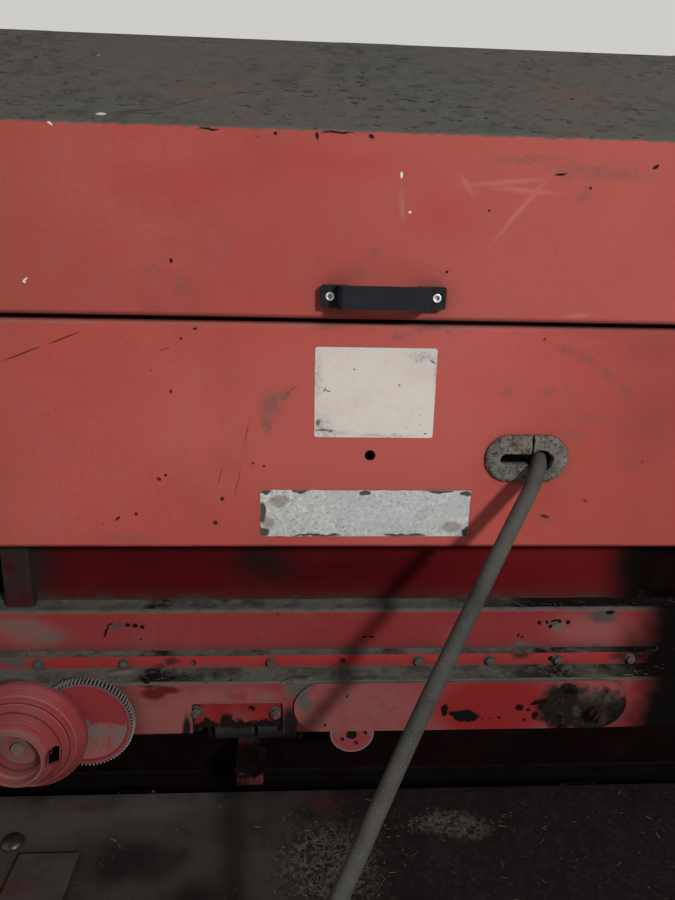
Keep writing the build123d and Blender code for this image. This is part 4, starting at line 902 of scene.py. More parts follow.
class TWINEBOX_OT_shade_paint(bpy.types.Operator):
    """Unfaded paint, dirt and painted shade on what stands back under the box"""

    bl_idname = "twine_box.shade_paint"
    bl_label = "Paint Set-Back Wall"

    def execute(self, context):
        colours = context.scene.twine_box_colours
        dust, oil, rust = tints(colours, "dust", "oil", "rust")
        red = colours.shade_red
        wall = old_paint("wall_paint_shaded", red, colours, 0.5, 1.0, haze=0.04, shine=0.015)
        # Painted light: the wall is lighter right of the middle and darker at the left.
        wall.layer((wall.span(wall.ragged("X", 8, 90 * MM), 0.06, 0.26), 0.85), shade(red, 1.75), 0.45)
        wall.layer((wall.noise(9, 0.42, 0.7, stretch=(5, 1, 0.5)), 0.5), shade(red, 0.55), 0.6)
        # Dark patches: oily dirt, and painted shade under the box.
        wall.layer((wall.spots(((-450, -240, 80, 70), (-140, -235, 60, 60), (370, -245, 50, 60)), warp=50, wave=9,
                               full=0.9), 0.75), oil(0.9), 0.7)
        wall.layer((wall.span(wall.ragged("Z", 24, 14 * MM), *WALL_FOOT), 0.9), blend(dust(0.5), red, 0.3), 0.95)
        settle(wall, colours)
        # Painted shadow over the wall's right end, in the colour of dark oil.
        wall.layer(wall.right_end_shadow(8, 0.31, 0.385), oil(0.4), 0.8)
        dress(wall.done(), "apron")

        bracket = old_paint("wall_bracket_dusty", shade(red, 0.7), colours, 0.6, 1.2, haze=0.04, shine=0.03)
        bracket.layer((bracket.noise(22, 0.26, 0.55), 0.85), dust(0.24), 0.9)
        settle(bracket, colours, 1.2)
        dress(bracket.done(), "apron_bracket")

        # Near-black front: painted shade of the gap behind the beams; the back is dirty red and rust, the top dusty.
        guard = Finish("guard_paint_dirty", (0.0040, 0.0017, 0.0016), 0.9, shine=0.01)
        guard.layer(guard.noise(7, 0.35, 0.7), (0.0065, 0.0022, 0.0022), 0.85)
        guard.layer((guard.noise(30, 0.5, 0.75), 0.5), (0.007, 0.0055, 0.005), 0.95, 0.4 * MM)
        back = guard.facing("Y", 0.3, 0.8)
        guard.layer(back, shade(colours.beam_red, 0.55), 0.8)
        guard.layer((back, guard.noise(14, 0.42, 0.72), 0.8), blend(rust(0.6), colours.dust, 0.2), 0.9)
        guard.layer((guard.facing("Z", 0.3, 0.8), guard.noise(14, 0.3, 0.6)), dust(0.07), 0.95)
        dress(guard.done(), "chamber_guard")

        tube = old_paint("tube_paint_dirty", shade(colours.beam_red, 0.6), colours, 0.65, 0.2, 0.4, shine=0.02)
        tube.layer((tube.noise(8, 0.32, 0.6), 0.85), dust(0.45), 0.95, 0.3 * MM)
        # Dark front and top: painted shade of the dark space under the box, in the colour of oil.
        tube.layer(tube.either(tube.facing("Y", 0.3, 0.8, -1), tube.facing("Z", 0.3, 0.8)), oil(0.4), 0.9)
        dress(tube.done(), "deck_cross_tube", "drawbar_rail_left", "drawbar_rail_right")
        return {"FINISHED"}


class TWINEBOX_OT_deck_paint(bpy.types.Operator):
    """Oily, dusty paint on the deck and its pad, darkened partly as painted shade"""

    bl_idname = "twine_box.deck_paint"
    bl_label = "Paint Deck"

    def execute(self, context):
        colours = context.scene.twine_box_colours
        dust, oil = tints(colours, "dust", "oil")
        soil = blend(dust(0.42), colours.cast_red, 0.03)
        for name, level, node in (("deck_paint_dirty", 1.0, "deck_plate"), ("pad_paint_dirty", 1.25, "deck_pad")):
            base = shade(colours.deck_brown, level)
            deck = Finish(name, base, 0.75, shine=0.03)
            deck.layer(deck.span(deck.ragged("X", 6, 240 * MM), 0.16, -0.1), shade(soil, level), 0.9)
            deck.layer((deck.spots(((-440, -320, 170, 60), (-300, -305, 130, 40), (-500, -400, 60, 90)), "XY",
                                   warp=70, wave=9, full=0.8), 0.9), blend(dust(0.74), colours.cast_red, 0.05), 0.92)
            deck.layer((deck.noise(14, 0.45, 0.72, detail=5, at=(3, 1, 0)), 0.6), shade(base, 0.55), 0.8)
            deck.layer((deck.noise(110, 0.44, 0.78, detail=5, rough=0.75), 0.35), shade(soil, 1.2), 0.95, 0.15 * MM)
            deck.layer((deck.spots(((-384, -300, 30, 12), (-52, -302, 34, 22), (-440, -430, 50, 20)), "XY", warp=20,
                                   full=0.9), 0.5), shade(colours.beam_red, 0.3), 0.7)
            deck.layer((deck.spots(((-52, -400, 90, 80), (118, -347, 66, 28)), "XY", warp=40, wave=9, full=0.6),
                        deck.noise(170, 0.4, 0.6)), blend(shade(colours.straw, 0.2), dust(0.75), 0.7), 0.95)
            deck.layer((deck.spots(((-300, -400, 90, 50), (-210, -470, 80, 70)), "XY", warp=60, wave=9, full=0.8),
                        0.7), shade(base, 0.6), 0.6)
            pale, dark = deck.grains(260, 0.24, 0.07)
            deck.layer((pale, 0.8), dust(0.85), 0.95, 0.15 * MM)
            deck.layer(dark, oil(0.5), 0.8)
            deck.layer((deck.edges(1.6 * MM), deck.noise(60, 0.42, 0.58)), dust(0.35), 0.7)
            # Oily dark in corners and gaps: dirt and painted shade.
            deck.layer((deck.nooks(20 * MM), 0.7), oil(0.8), 0.8)
            deck.layer((deck.facing("Z", 0.5, 0.9, -1), deck.noise(12, 0.35, 0.6), 0.8), colours.rust, 0.9)
            dress(deck.done(), node)
        return {"FINISHED"}


class TWINEBOX_OT_drive_paint(bpy.types.Operator):
    """Turned and painted castings, gear teeth and the small wheel"""

    bl_idname = "twine_box.drive_paint"
    bl_label = "Paint Drive"

    def execute(self, context):
        colours = context.scene.twine_box_colours
        dust, oil, steel = tints(colours, "dust", "oil", "steel")
        cast = colours.cast_red
        # Pale pink of worn paint; on the pulley's step edges it is also painted highlight.
        rim = blend(cast, (0.50, 0.26, 0.24), 0.45)
        tooth_steel = steel(0.4)

        pulley = Finish("pulley_paint_turned", cast, 0.55)
        radius = pulley.radius_about(pulley_low, pulley_high)
        pulley.layer((pulley.noise(14, 0.42, 0.7), 0.7), blend(cast, (0.26, 0.075, 0.08), 0.6))
        pulley.layer((pulley.turned(radius, 900, 0.3, 0.75), 0.55), shade(cast, 0.72), 0.62, 0.1 * MM)
        pulley.layer(pulley.turned(radius, 260, 0.6, 0.68), shade(cast, 0.45), 0.7, -0.15 * MM)
        pulley.layer((pulley.turned(radius, 420, 0.66, 0.72), 0.6), rim, 0.45)
        # Pale pink step edges: worn paint, and painted highlights along the edges.
        pulley.layer((pulley.edges(0.9 * MM), pulley.noise(60, 0.3, 0.6)), rim, 0.5)
        pits, crumbs = pulley.grains(120, 0.15, 0.20)
        pulley.layer((pits, 0.9), shade(cast, 0.3), 0.8)
        pulley.layer((crumbs, pulley.noise(30, 0.4, 0.6)), dust(1.3), 0.9)
        # Darker in the pulley's grooves and recess: painted shade.
        pulley.layer((pulley.nooks(7 * MM), 0.7), shade(cast, 0.38), 0.85)
        pulley.layer((pulley.facing("Z", 0.5, 0.95), pulley.noise(40, 0.25, 0.6), 0.3), colours.dust, 0.9)
        pulley.layer((pulley.span(radius, 43 * MM, 39 * MM), pulley.facing("Y", 0.3, 0.8, -1),
                      pulley.noise(26, 0.2, 0.6), 0.75), blend(dust(1.35), cast, 0.3), 0.95, 0.2 * MM)
        dress(pulley.done(), "stepped_pulley")

        gear = Finish("gear_paint_toothed", blend(cast, colours.strip_red, 0.35), 0.5)
        radius = gear.radius_about(gear_low, gear_high)
        centre = (gear_low + gear_high) / 2
        gear.layer(gear.noise(18, 0.45, 0.7), shade(cast, 0.82))
        gear.layer((gear.turned(radius, 800, 0.35, 0.75), 0.5), shade(cast, 0.72), 0.6, 0.06 * MM)
        level = gear.ragged("Z", 36, 16 * MM)
        web = gear.both(gear.facing("Y", 0.4, 0.8, -1), gear.span(radius, 54 * MM, 52 * MM))
        gear.layer((web, gear.span(level, centre.z + 12 * MM, centre.z), gear.noise(44, 0.22, 0.5), 0.9),
                   blend(dust(1.55), cast, 0.25), 0.95, 0.5 * MM)
        gear.layer((web, gear.span(level, centre.z - 10 * MM, centre.z - 32 * MM), 0.7),
                   blend(cast, (0.3, 0.12, 0.11), 0.5), 0.85)
        pits, crumbs = gear.grains(120, 0.16, 0.14)
        gear.layer(pits, shade(cast, 0.35), 0.8)
        gear.layer((crumbs, 0.8), dust(1.4), 0.8)
        ring = gear.span(radius, 56.0 * MM, 57.6 * MM)
        upper_ring = gear.both(ring, gear.span(gear.along("Z"), centre.z - 26 * MM, centre.z + 6 * MM))
        gear.layer(ring, blend(tooth_steel, cast, 0.6), 0.5)
        gear.layer(upper_ring, tooth_steel, 0.42)
        gear.layer((gear.span(radius, 59.8 * MM, 61.0 * MM), gear.noise(30, 0.2, 0.5)), steel(1.15), 0.35)
        # Dark between the teeth: oil and painted shade.
        gear.layer((gear.nooks(3 * MM), ring), oil(1.0), 0.5)
        gear.metal(gear.both(upper_ring, 0.5))
        dress(gear.done(), "drive_gear")

        pinion = Finish("pinion_greasy", steel(0.4), 0.4, 0.7)
        pinion.layer(pinion.noise(60, 0.35, 0.6), oil(2.0), 0.35, 0.15 * MM)
        pinion.layer((pinion.edges(0.4 * MM), 0.8), steel(1.2), 0.3)
        dress(pinion.done(), "pinion")

        wheel = old_paint("wheel_paint_chipped", shade(cast, 1.05), colours, 0.5, 1.8, rub=rim)
        radius = wheel.radius_about(wheel_low, wheel_high)
        wheel.layer((wheel.noise(46, 0.45, 0.6), 0.8), blend(dust(1.3), cast, 0.4), 0.85, 0.1 * MM)
        wheel.layer((wheel.span(radius, 27 * MM, 29 * MM), wheel.noise(30, 0.3, 0.55)), steel(0.5), 0.45)
        wheel.layer((wheel.noise(26, 0.6, 0.68, at=(2, 0, 0)), 0.9), oil(1.2), 0.4)
        dress(wheel.done(), "twine_wheel")

        cutter = Finish("cutter_casting_greasy", shade(cast, 0.62), 0.45)
        cutter.layer(cutter.noise(30, 0.48, 0.66), oil(1.1), 0.35, 0.5 * MM)
        cutter.layer((cutter.noise(60, 0.45, 0.7, at=(1, 0, 0)), 0.5), (0.2, 0.085, 0.095), 0.8)
        cutter.layer((cutter.edges(0.8 * MM), cutter.noise(70, 0.4, 0.6)), steel(0.5), 0.4)
        dress(cutter.done(), "cutter_block")
        return {"FINISHED"}


class TWINEBOX_OT_fittings(bpy.types.Operator):
    """Steel, rubber and plastic of shafts, rollers, hinges, hose fittings and handle"""

    bl_idname = "twine_box.fittings"
    bl_label = "Finish Fittings"

    def execute(self, context):
        colours = context.scene.twine_box_colours
        dust, oil, steel = tints(colours, "dust", "oil", "steel")

        def metal_finish(name, level, dirt, dirt_colour, rough, metallic=0.85):
            """Drawn or turned steel, partly under dirt."""
            coat = Finish(name, steel(level), rough, metallic)
            coat.layer(coat.noise(300, 0.4, 0.7, stretch=(1, 12, 12)), steel(level * 0.75), rough + 0.1, 0.03 * MM)
            mask = coat.noise(45, 0.62 - dirt * 0.4, 0.80 - dirt * 0.4, detail=5)
            coat.layer(mask, dirt_colour, 0.85, 0.12 * MM)
            # Darker in corners and gaps: dirt and painted shade.
            coat.layer((coat.nooks(5 * MM), 0.85), shade(dirt_colour, 0.6), 0.9)
            coat.layer((coat.edges(0.5 * MM), coat.noise(80, 0.35, 0.6)), steel(level * 1.7), 0.35)
            coat.metal(coat.math("SUBTRACT", metallic, coat.both(mask, metallic)))
            return coat

        hinge = metal_finish("hinge_steel_rusty", 0.6, 0.8, colours.rust, 0.5)
        settle(hinge, colours)
        dress(hinge.done(), "hinge_leaves_fixed", "hinge_leaves_lid", "hinge_pins")
        shaft = metal_finish("shaft_steel_dusty", 0.45, 0.85, blend(dust(1.3), colours.cast_red, 0.3), 0.5)
        dress(shaft.done(), "gear_shaft", "pulley_shaft")
        greasy = metal_finish("roller_steel_greasy", 0.55, 0.55, oil(1.3), 0.35)
        dress(greasy.done(), "roller_axle", "roller_core_left", "roller_core_right")
        tension = metal_finish("tensioner_steel_greasy", 0.14, 0.75, blend(colours.oil, colours.rust, 0.18), 0.6, 0.3)
        dress(tension.done(), "tensioner_bolt", "tensioner_washer_rear", "tensioner_washer_front")
        zinc = metal_finish("fitting_zinc_dull", 0.95, 0.45, dust(1.2), 0.42)
        dress(zinc.done(), "hose_fitting", "hose_coupler", "feed_pipe", "fitting_bracket")

        rubber = Finish("roller_rubber_worn", (0.012, 0.0125, 0.0125), 0.6, shine=0.05)
        rubber.layer(rubber.noise(80, 0.4, 0.7, stretch=(8, 1, 1)), (0.02, 0.02, 0.02), 0.7, 0.08 * MM)
        rubber.layer(rubber.noise(30, 0.52, 0.74, at=(4, 0, 0)), dust(0.32), 0.9)
        rubber.layer((rubber.edges(1.0 * MM), 0.8), steel(0.4), 0.4)
        dress(rubber.done(), "roller_sleeve_left", "roller_sleeve_right")

        plastic = Finish("handle_plastic_satin", colours.black, 0.48, shine=0.06)
        plastic.layer(plastic.noise(1400, 0.35, 0.7, detail=2), shade(colours.black, 1.25), 0.52, 0.03 * MM)
        plastic.layer((plastic.noise(24, 0.48, 0.72), 0.12), dust(0.9), 0.7)
        plastic.layer((plastic.edges(0.8 * MM), plastic.noise(60, 0.35, 0.6), 0.6), (0.06, 0.064, 0.072), 0.4)
        # Darker in the handle's corners and gaps: painted shade.
        plastic.layer((plastic.nooks(8 * MM), 0.7), shade(colours.black, 0.35), 0.6)
        plastic.layer((plastic.facing("Z", 0.4, 0.8), plastic.noise(26, 0.3, 0.6), 0.4), colours.dust, 0.95)
        dress(plastic.done(), "pull_handle")
        return {"FINISHED"}


def merged_copy(node):
    """A bmesh of a CAD node with its loose triangles joined."""
    shape = bmesh.new()
    shape.from_mesh(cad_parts[node].data)
    bmesh.ops.remove_doubles(shape, verts=shape.verts, dist=0.01 * MM)
    return shape


class TWINEBOX_OT_grommet(bpy.types.Operator):
    """Ribbed rubber grommet round the hose's opening"""

    bl_idname = "twine_box.grommet"
    bl_label = "Add Grommet"

    def execute(self, context):
        colours = context.scene.twine_box_colours
        dust, oil = tints(colours, "dust", "oil")
        pitch = context.scene.twine_box_trim.rib_pitch
        low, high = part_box("grommet")
        centre = (low + high) / 2
        straight = (high.x - low.x) / 2 - (high.z - low.z) / 2
        bend = 20 * MM
        half_way = 2 * straight + pi * bend
        mesh = as_mesh("rubber_grommet", merged_copy("grommet"))
        piece = add_object("rubber_grommet", mesh)
        remesh = piece.modifiers.new("even", "REMESH")
        remesh.mode = "VOXEL"
        remesh.voxel_size = 0.95 * MM
        even = bpy.data.meshes.new_from_object(piece.evaluated_get(context.evaluated_depsgraph_get()))
        piece.modifiers.clear()
        shape = bmesh.new()
        shape.from_mesh(even)
        for _ in range(3):
            bmesh.ops.smooth_vert(shape, verts=shape.verts, factor=0.5, use_axis_x=True, use_axis_y=True,
                                  use_axis_z=True)
        shape.normal_update()
        groove = shape.verts.layers.float.new("groove")
        for vert in shape.verts:
            # Distance round the oval from the middle of its top, so that the ribs run across its rounded edge
            x, z = vert.co.x - centre.x, vert.co.z - centre.z
            second_half = x < -straight or (abs(x) <= straight and z <= 0)
            if second_half:
                x, z = -x, -z
            run = x if x <= straight else straight + bend * atan2(x - straight, z)
            rib = 0.5 + 0.5 * cos(2 * pi * (run + half_way * second_half) / pitch)
            wear = 0.6 + 0.6 * noise.noise(vert.co * 60)
            vert[groove] = (1 - rib) * wear
            if vert.normal.y < 0.35:
                vert.co += vert.normal * (0.4 * MM * (rib - 0.5) * wear + 0.7 * MM * noise.noise(vert.co * 130))
        shape.normal_update()
        shape.to_mesh(mesh)
        shape.free()
        mesh.shade_smooth()

        rubber = Finish("grommet_rubber_dusty", colours.rubber_grey, 0.85, shine=0.04)
        rubber.layer(rubber.noise(60, 0.38, 0.66, detail=4), shade(colours.rubber_grey, 0.55), 0.75)
        rubber.layer(rubber.noise(34, 0.46, 0.7, at=(6, 0, 0)), dust(1.9), 0.95, 0.15 * MM)
        rubber.layer((rubber.noise(200, 0.5, 0.66), 0.7), oil(2.0), 0.9, -0.12 * MM)
        line = rubber.node("ShaderNodeAttribute", {}, output=2, attribute_name="groove")
        rubber.layer((rubber.span(line, 0.35, 0.85), 0.4), oil(3.0), 0.95)
        pale, dark = rubber.grains(330, 0.32, 0.26)
        rubber.layer(pale, dust(2.4), 0.95)
        rubber.layer((dark, 0.7), oil(2.0), 0.9)
        rubber.layer((rubber.noise(50, 0.6, 0.76, at=(3, 3, 0)), 0.4), shade(colours.lid_red, 0.7), 0.85)
        # Dark in the grommet's folds and gaps: oily dirt and painted shade.
        rubber.layer((rubber.nooks(5 * MM), 0.9), oil(0.9), 0.9)
        mesh.materials.clear()
        mesh.materials.append(rubber.done())
        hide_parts("grommet")
        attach(piece, "frame")
        return {"FINISHED"}


def film(size, middle, thick, corner, cuts, ragged, seed):
    """A thin rounded sheet with ragged edges on the front panel; its middle is in millimetres."""
    wide, tall = size
    shape = bmesh.new()
    bmesh.ops.create_grid(shape, x_segments=1, y_segments=1, size=0.5,
                          matrix=Matrix.Translation((middle[0] * MM, front_face, middle[1] * MM))
                          @ Matrix.Rotation(pi / 2, 4, "X") @ Matrix.Diagonal((wide, tall, 1, 1)))
    bmesh.ops.bevel(shape, geom=shape.verts[:], offset=corner, segments=5, profile=0.5, affect="VERTICES",
                    material=-1)
    sides = [edge for edge in shape.edges if edge.calc_length() > 20 * MM]
    bmesh.ops.subdivide_edges(shape, edges=sides, cuts=cuts)
    # noise.noise twice, because noise.noise_vector comes out differently in each run
    for vert in shape.verts:
        place = vert.co * 90 + Vector((seed, 0, 0))
        vert.co.x += noise.noise(place) * ragged
        vert.co.z += noise.noise(place + Vector((0, 50, 0))) * ragged
    grown = bmesh.ops.extrude_face_region(shape, geom=shape.faces[:])["geom"]
    bmesh.ops.translate(shape, vec=(0, -thick, 0), verts=only(grown, bmesh.types.BMVert))
    bmesh.ops.recalc_face_normals(shape, faces=shape.faces)
    return shape


class TWINEBOX_OT_labels(bpy.types.Operator):
    """Blank label and blank plate on the front panel"""

    bl_idname = "twine_box.labels"
    bl_label = "Add Blank Labels"

    def execute(self, context):
        colours = context.scene.twine_box_colours
        dust, rust = tints(colours, "dust", "rust")
        trim = context.scene.twine_box_trim
        white = colours.label_white

        paper = Finish("label_film_yellowed", white, 0.55, shine=0.10)
        paper.layer((paper.noise(9, 0.4, 0.7), 0.8), shade(white, 0.9))
        paper.layer((paper.noise(24, 0.48, 0.78, at=(2, 2, 0)), 0.5), (0.5, 0.4, 0.34), 0.7)
        paper.layer((paper.noise(90, 0.5, 0.76, detail=4), 0.5), shade(white, 0.82), 0.7)
        paper.layer((paper.spots(((-68, -38, 18, 20), (-52, -46, 30, 8), (50, 46, 26, 8), (-72, 20, 7, 40),
                                  (10, -50, 50, 5), (66, 30, 6, 26)), warp=16, wave=90, full=0.9),
                     paper.noise(260, 0.3, 0.6), 0.6), dust(2.6), 0.9)
        paper.layer((paper.spots(((-71, -34, 3, 6), (-66, -43, 12, 1.8), (-56, -44, 3, 1.6), (57, -46, 2, 1.8),
                                  (61, 40, 5, 1.6, -30), (-30, 30, 1.6, 1.4), (24, 12, 2, 1.4), (-64, 6, 4, 1.4, 60),
                                  (-60, 4, 4, 1.2, -20)), warp=4, wave=90), 0.85), dust(0.9), 0.9)
        pits, crumbs = paper.grains(120, 0.13, 0.14)
        paper.layer((pits, 0.8), dust(1.2), 0.8)
        paper.layer((paper.edges(0.7 * MM), paper.noise(50, 0.3, 0.6), 0.7), dust(1.4), 0.9)
        paper.layer(paper.noise(160, 0.35, 0.65), height=0.05 * MM)
        add_mesh("blank_label", film(trim.label_size, (-4.5, 2.1), 0.3 * MM, 3.5 * MM, 30, 0.12 * MM, 3.0),
                 paper.done())

        foil = Finish("plate_foil_worn", colours.plate_grey, 0.42)
        foil.layer(foil.noise(150, 0.42, 0.66, detail=5), shade(colours.plate_grey, 1.3), 0.45, 0.03 * MM)
        foil.layer((foil.noise(300, 0.52, 0.68, at=(3, 0, 0)), 0.75), shade(colours.plate_grey, 0.45), 0.6,
                   -0.03 * MM)
        foil.layer((foil.noise(20, 0.42, 0.7), 0.4), shade(colours.plate_grey, 0.66), 0.6)
        foil.layer((foil.noise(8, 0.45, 0.7, at=(0, 5, 2)), 0.35), (0.4, 0.41, 0.44), 0.5)
        foil.layer(foil.spots(((-138, -147, 6, 15), (-12.5, -121.5, 9, 4), (-137, -173, 10, 8), (-133, -120, 9, 4),
                               (112, -122, 9, 4), (116, -172, 6, 8), (40, -177, 30, 2.6), (-70, -177, 34, 2.4),
                               (78, -119, 22, 2.4), (-92, -119, 12, 2.6)), warp=9, wave=90, full=0.3),
                   dust(0.75), 0.9, -0.3 * MM)
        foil.layer((foil.spots(((-118, -132, 16, 10), (-130, -160, 9, 10), (96, -166, 18, 9)), warp=9, wave=90), 0.5),
                   rust(1.4), 0.85)
        foil.layer((foil.edges(0.9 * MM), foil.noise(60, 0.35, 0.6)), shade(colours.plate_grey, 1.5), 0.4)
        add_mesh("blank_plate", film(trim.plate_size, (-11, -148), 0.8 * MM, 1.6 * MM, 60, 0.8 * MM, 8.0),
                 foil.done())
        return {"FINISHED"}


# Fastenings, in millimetres: along X on the strip and for the hinges; (X, Z) by the notch; (Y, Z) on the side plates;
# (X, Y) on the lid; (X, Y, size) on the deck
STRIP_BOLTS = (-540.0, -430.7, -321.1, -128.7, 68.5, 165.4, 259.0, 360.0, 455.0, 550.0)
STRIP_BOLT_LEVEL = -364.0
HINGES = (-480.0, 0.0, 480.0)
LEAF_BOLT_LEVEL = 402.0
NOTCH_BOLTS = ((-225.2, -419.7), (-121.4, -422.9))
BEAM_BOLTS = ((-244, -314), (-244, -354), (-300, -392), (-300, -432), (-235, -615), (-235, -644))
PANEL_BOLTS = ((-284, 40), (-284, -56), (-284, -152), (-40, -150), (-40, 40), (-40, 180))
HANDLE_SCREWS = (-60, 60)
HANDLE_FOOT = 7.0
LID_RIVETS = (
    (-411.7, -115.8), (-353.8, -109.4), (353.8, -109.4), (411.7, -115.8), (-353.8, -230), (353.8, -230),
    (-494, -52), (-466, -52), (-14, -52), (14, -52), (466, -52), (494, -52),
)
DECK_BOLTS = (
    (-457, -358, 1), (457, -358, 1), (-322, -637, 0.7), (-322, -772, 0.7), (322, -500, 0.7), (322, -637, 0.7),
    (322, -772, 0.7), (-457, -700, 1), (457, -700, 1),
)
FRONTWARD = (0, -1, 0)


def on_lid(x, y):
    """The place on the lid's slope above X and Y in millimetres."""
    return x * MM, y * MM, lid_crown + (y * MM - lid_low.y) * tan(lid_slope)


class TWINEBOX_OT_bolts(bpy.types.Operator):
    """Bolts, screws and rivets that hold the sheet metal"""

    bl_idname = "twine_box.bolts"
    bl_label = "Add Bolts"

    def execute(self, context):
        colours = context.scene.twine_box_colours
        dust, steel = tints(colours, "dust", "steel")
        trim = context.scene.twine_box_trim
        dice = random.Random(context.scene.twine_box_dirt.seed)

        def bolt_finish(name, base, dirt, share, metallic, rough, edge=1.1):
            """A head with dirt over a share of it and worn edges."""
            coat = Finish(name, base, rough, metallic)
            coat.layer(coat.noise(120, 0.4, 0.66), shade(base, 0.6), rough + 0.15, 0.06 * MM)
            coat.layer(coat.noise(70, 0.72 - share * 0.5, 0.86 - share * 0.5, detail=5), dirt, 0.9, 0.12 * MM)
            # Darker round the head's foot and in gaps: dirt and painted shade.
            coat.layer((coat.nooks(4 * MM), 0.9), shade(dirt, 0.45), 0.9)
            coat.layer((coat.edges(0.6 * MM), coat.noise(90, 0.35, 0.6)), steel(edge), 0.4)
            return coat.done()

        dusty = bolt_finish("bolt_steel_dusty", blend(colours.beam_red, colours.dust, 0.5), dust(0.8), 0.72, 0.1, 0.7,
                            0.45)
        rusty = bolt_finish("bolt_steel_rusty", steel(0.3), colours.rust, 0.7, 0.4, 0.5)
        bright = bolt_finish("screw_steel_bright", steel(2.3), dust(1.4), 0.18, 0.55, 0.28)
        domed = bolt_finish("dome_steel_dull", steel(0.2), dust(0.35), 0.45, 0.8, 0.34, 0.5)

        def drive(shape, part, places, direction):
            """Stamp a part at each place, turned by chance."""
            for place in places:
                stamp(shape, part, place, direction, dice.uniform(0, pi / 3))

        head = hexagon(trim.small_hex, 4.5 * MM, 7.2 * MM, 1.2 * MM)
        notch_head = hexagon(12 * MM, 6 * MM, 8.5 * MM, 1.5 * MM, 3 * MM)
        shape = bmesh.new()
        drive(shape, head, [(x * MM, strip_face, STRIP_BOLT_LEVEL * MM) for x in STRIP_BOLTS], FRONTWARD)
        drive(shape, notch_head, [(x * MM, bracket_face, z * MM) for x, z in NOTCH_BOLTS], FRONTWARD)
        add_mesh("beam_bolts", shape, dusty, smooth=25)

        side_head = hexagon(trim.large_hex, 4.9 * MM, 12.5 * MM, 1.6 * MM)
        panel_head = hexagon(13 * MM, 4.5 * MM, 9.5 * MM, 1.4 * MM)
        leaf_head = hexagon(8 * MM, 3.4 * MM, 5.4 * MM, 0.8 * MM)
        shape = bmesh.new()
        for side in (-1, 1):
            for part, places in ((side_head, BEAM_BOLTS), (panel_head, PANEL_BOLTS)):
                drive(shape, part, [(side * plate_face, y * MM, z * MM) for y, z in places], (side, 0, 0))
        drive(shape, leaf_head, [((x + across) * MM, leaf_face, LEAF_BOLT_LEVEL * MM) for x in HINGES
                                 for across in (-28, 0, 28)], (0, 1, 0))
        add_mesh("side_bolts", shape, rusty, smooth=25)

        screw = socket_screw(trim.screw_head, 4 * MM, 2.9 * MM)
        low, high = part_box("pull_handle")
        shape = bmesh.new()
        drive(shape, screw, [(x * MM, front_face - HANDLE_FOOT * MM, (low.z + high.z) / 2) for x in HANDLE_SCREWS],
              FRONTWARD)
        add_mesh("handle_screws", shape, bright, "lid")

        rivet = as_part(spun([(radius * MM, height * MM) for radius, height in (
            (0, -0.4), (4.6, -0.4), (4.6, 0), (4.1, 0.9), (2.9, 1.8), (1.4, 2.3), (0, 2.4))], 20))
        shape = bmesh.new()
        for x, y in LID_RIVETS:
            stamp(shape, rivet, on_lid(x, y), (0, -sin(lid_slope), cos(lid_slope)))
        add_mesh("lid_rivets", shape, dusty, "lid")

        radius, foot = trim.dome_radius, 0.5 * MM
        rise = radius * 0.52
        curve = [(radius * cos(a), foot + rise * sin(a)) for a in map(radians, range(12, 90, 13))]
        dome = as_part(spun([(0, -foot), (radius, -foot), (radius, foot), *curve, (0, foot + rise)], 40))
        shape = bmesh.new()
        for x, y, size in DECK_BOLTS:
            stamp(shape, dome, (x * MM, y * MM, deck_top), scale=(size, size, size))
        add_mesh("deck_bolts", shape, domed)
        for part in (head, notch_head, side_head, panel_head, leaf_head, screw, rivet, dome):
            bpy.data.meshes.remove(part)
        return {"FINISHED"}


class TWINEBOX_OT_welds(bpy.types.Operator):
    """Weld beads where the beams, tube and rails meet"""

    bl_idname = "twine_box.welds"
    bl_label = "Add Welds"

    def execute(self, context):
        colours = context.scene.twine_box_colours
        radius = context.scene.twine_box_trim.bead
        dice = random.Random(context.scene.twine_box_dirt.seed + 1)
        drop = bmesh.new()
        bmesh.ops.create_uvsphere(drop, u_segments=8, v_segments=5, radius=1.0)
        drop = as_part(drop)
        tube_low, tube_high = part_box("deck_cross_tube")
        cross_low, cross_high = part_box("cross_beam")
        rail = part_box("drawbar_rail_right")
        lines = []
        for side in (-1, 1):
            end = side * (tube_high.x - 0.5 * MM)
            lines += [((end, tube_low.y, tube_low.z), (end, tube_low.y, tube_high.z)),
                      ((end, tube_high.y, tube_low.z), (end, tube_high.y, tube_high.z)),
                      ((end, cross_high.y, cross_low.z), (end, cross_high.y, cross_high.z)),
                      ((end, cross_low.y, cross_high.z), (end, cross_high.y, cross_high.z)),
                      ((end, strip_face, strip_top), (end, beam_face, strip_top))]
            for x in (rail[0].x, rail[1].x):
                lines.append(((side * x, rail[1].y, rail[0].z + 4 * MM), (side * x, rail[1].y, rail[1].z - 4 * MM)))
            lines.append(((side * rail[0].x, rail[1].y, rail[0].z), (side * rail[1].x, rail[1].y, rail[0].z)))
        shape = bmesh.new()
        for start, end in lines:
            start, end = Vector(start), Vector(end)
            steps = max(2, int((end - start).length / (radius * 0.75)))
            for index in range(steps + 1):
                place = start.lerp(end, index / steps) + Vector([dice.uniform(-0.3, 0.3) * MM for _ in range(3)])
                size = radius * dice.uniform(0.85, 1.1)
                stamp(shape, drop, place, end - start, scale=(size, size, size * 0.7))
        bpy.data.meshes.remove(drop)
        bead = Finish("weld_painted_rusty", shade(colours.beam_red, 0.8), 0.6)
        bead.layer(bead.noise(90, 0.42, 0.6), colours.rust, 0.9, 0.1 * MM)
        bead.layer((bead.facing("Z", 0.2, 0.8), bead.noise(60, 0.3, 0.6)), colours.dust, 0.95)
        add_mesh("weld_beads", shape, bead.done())
        return {"FINISHED"}


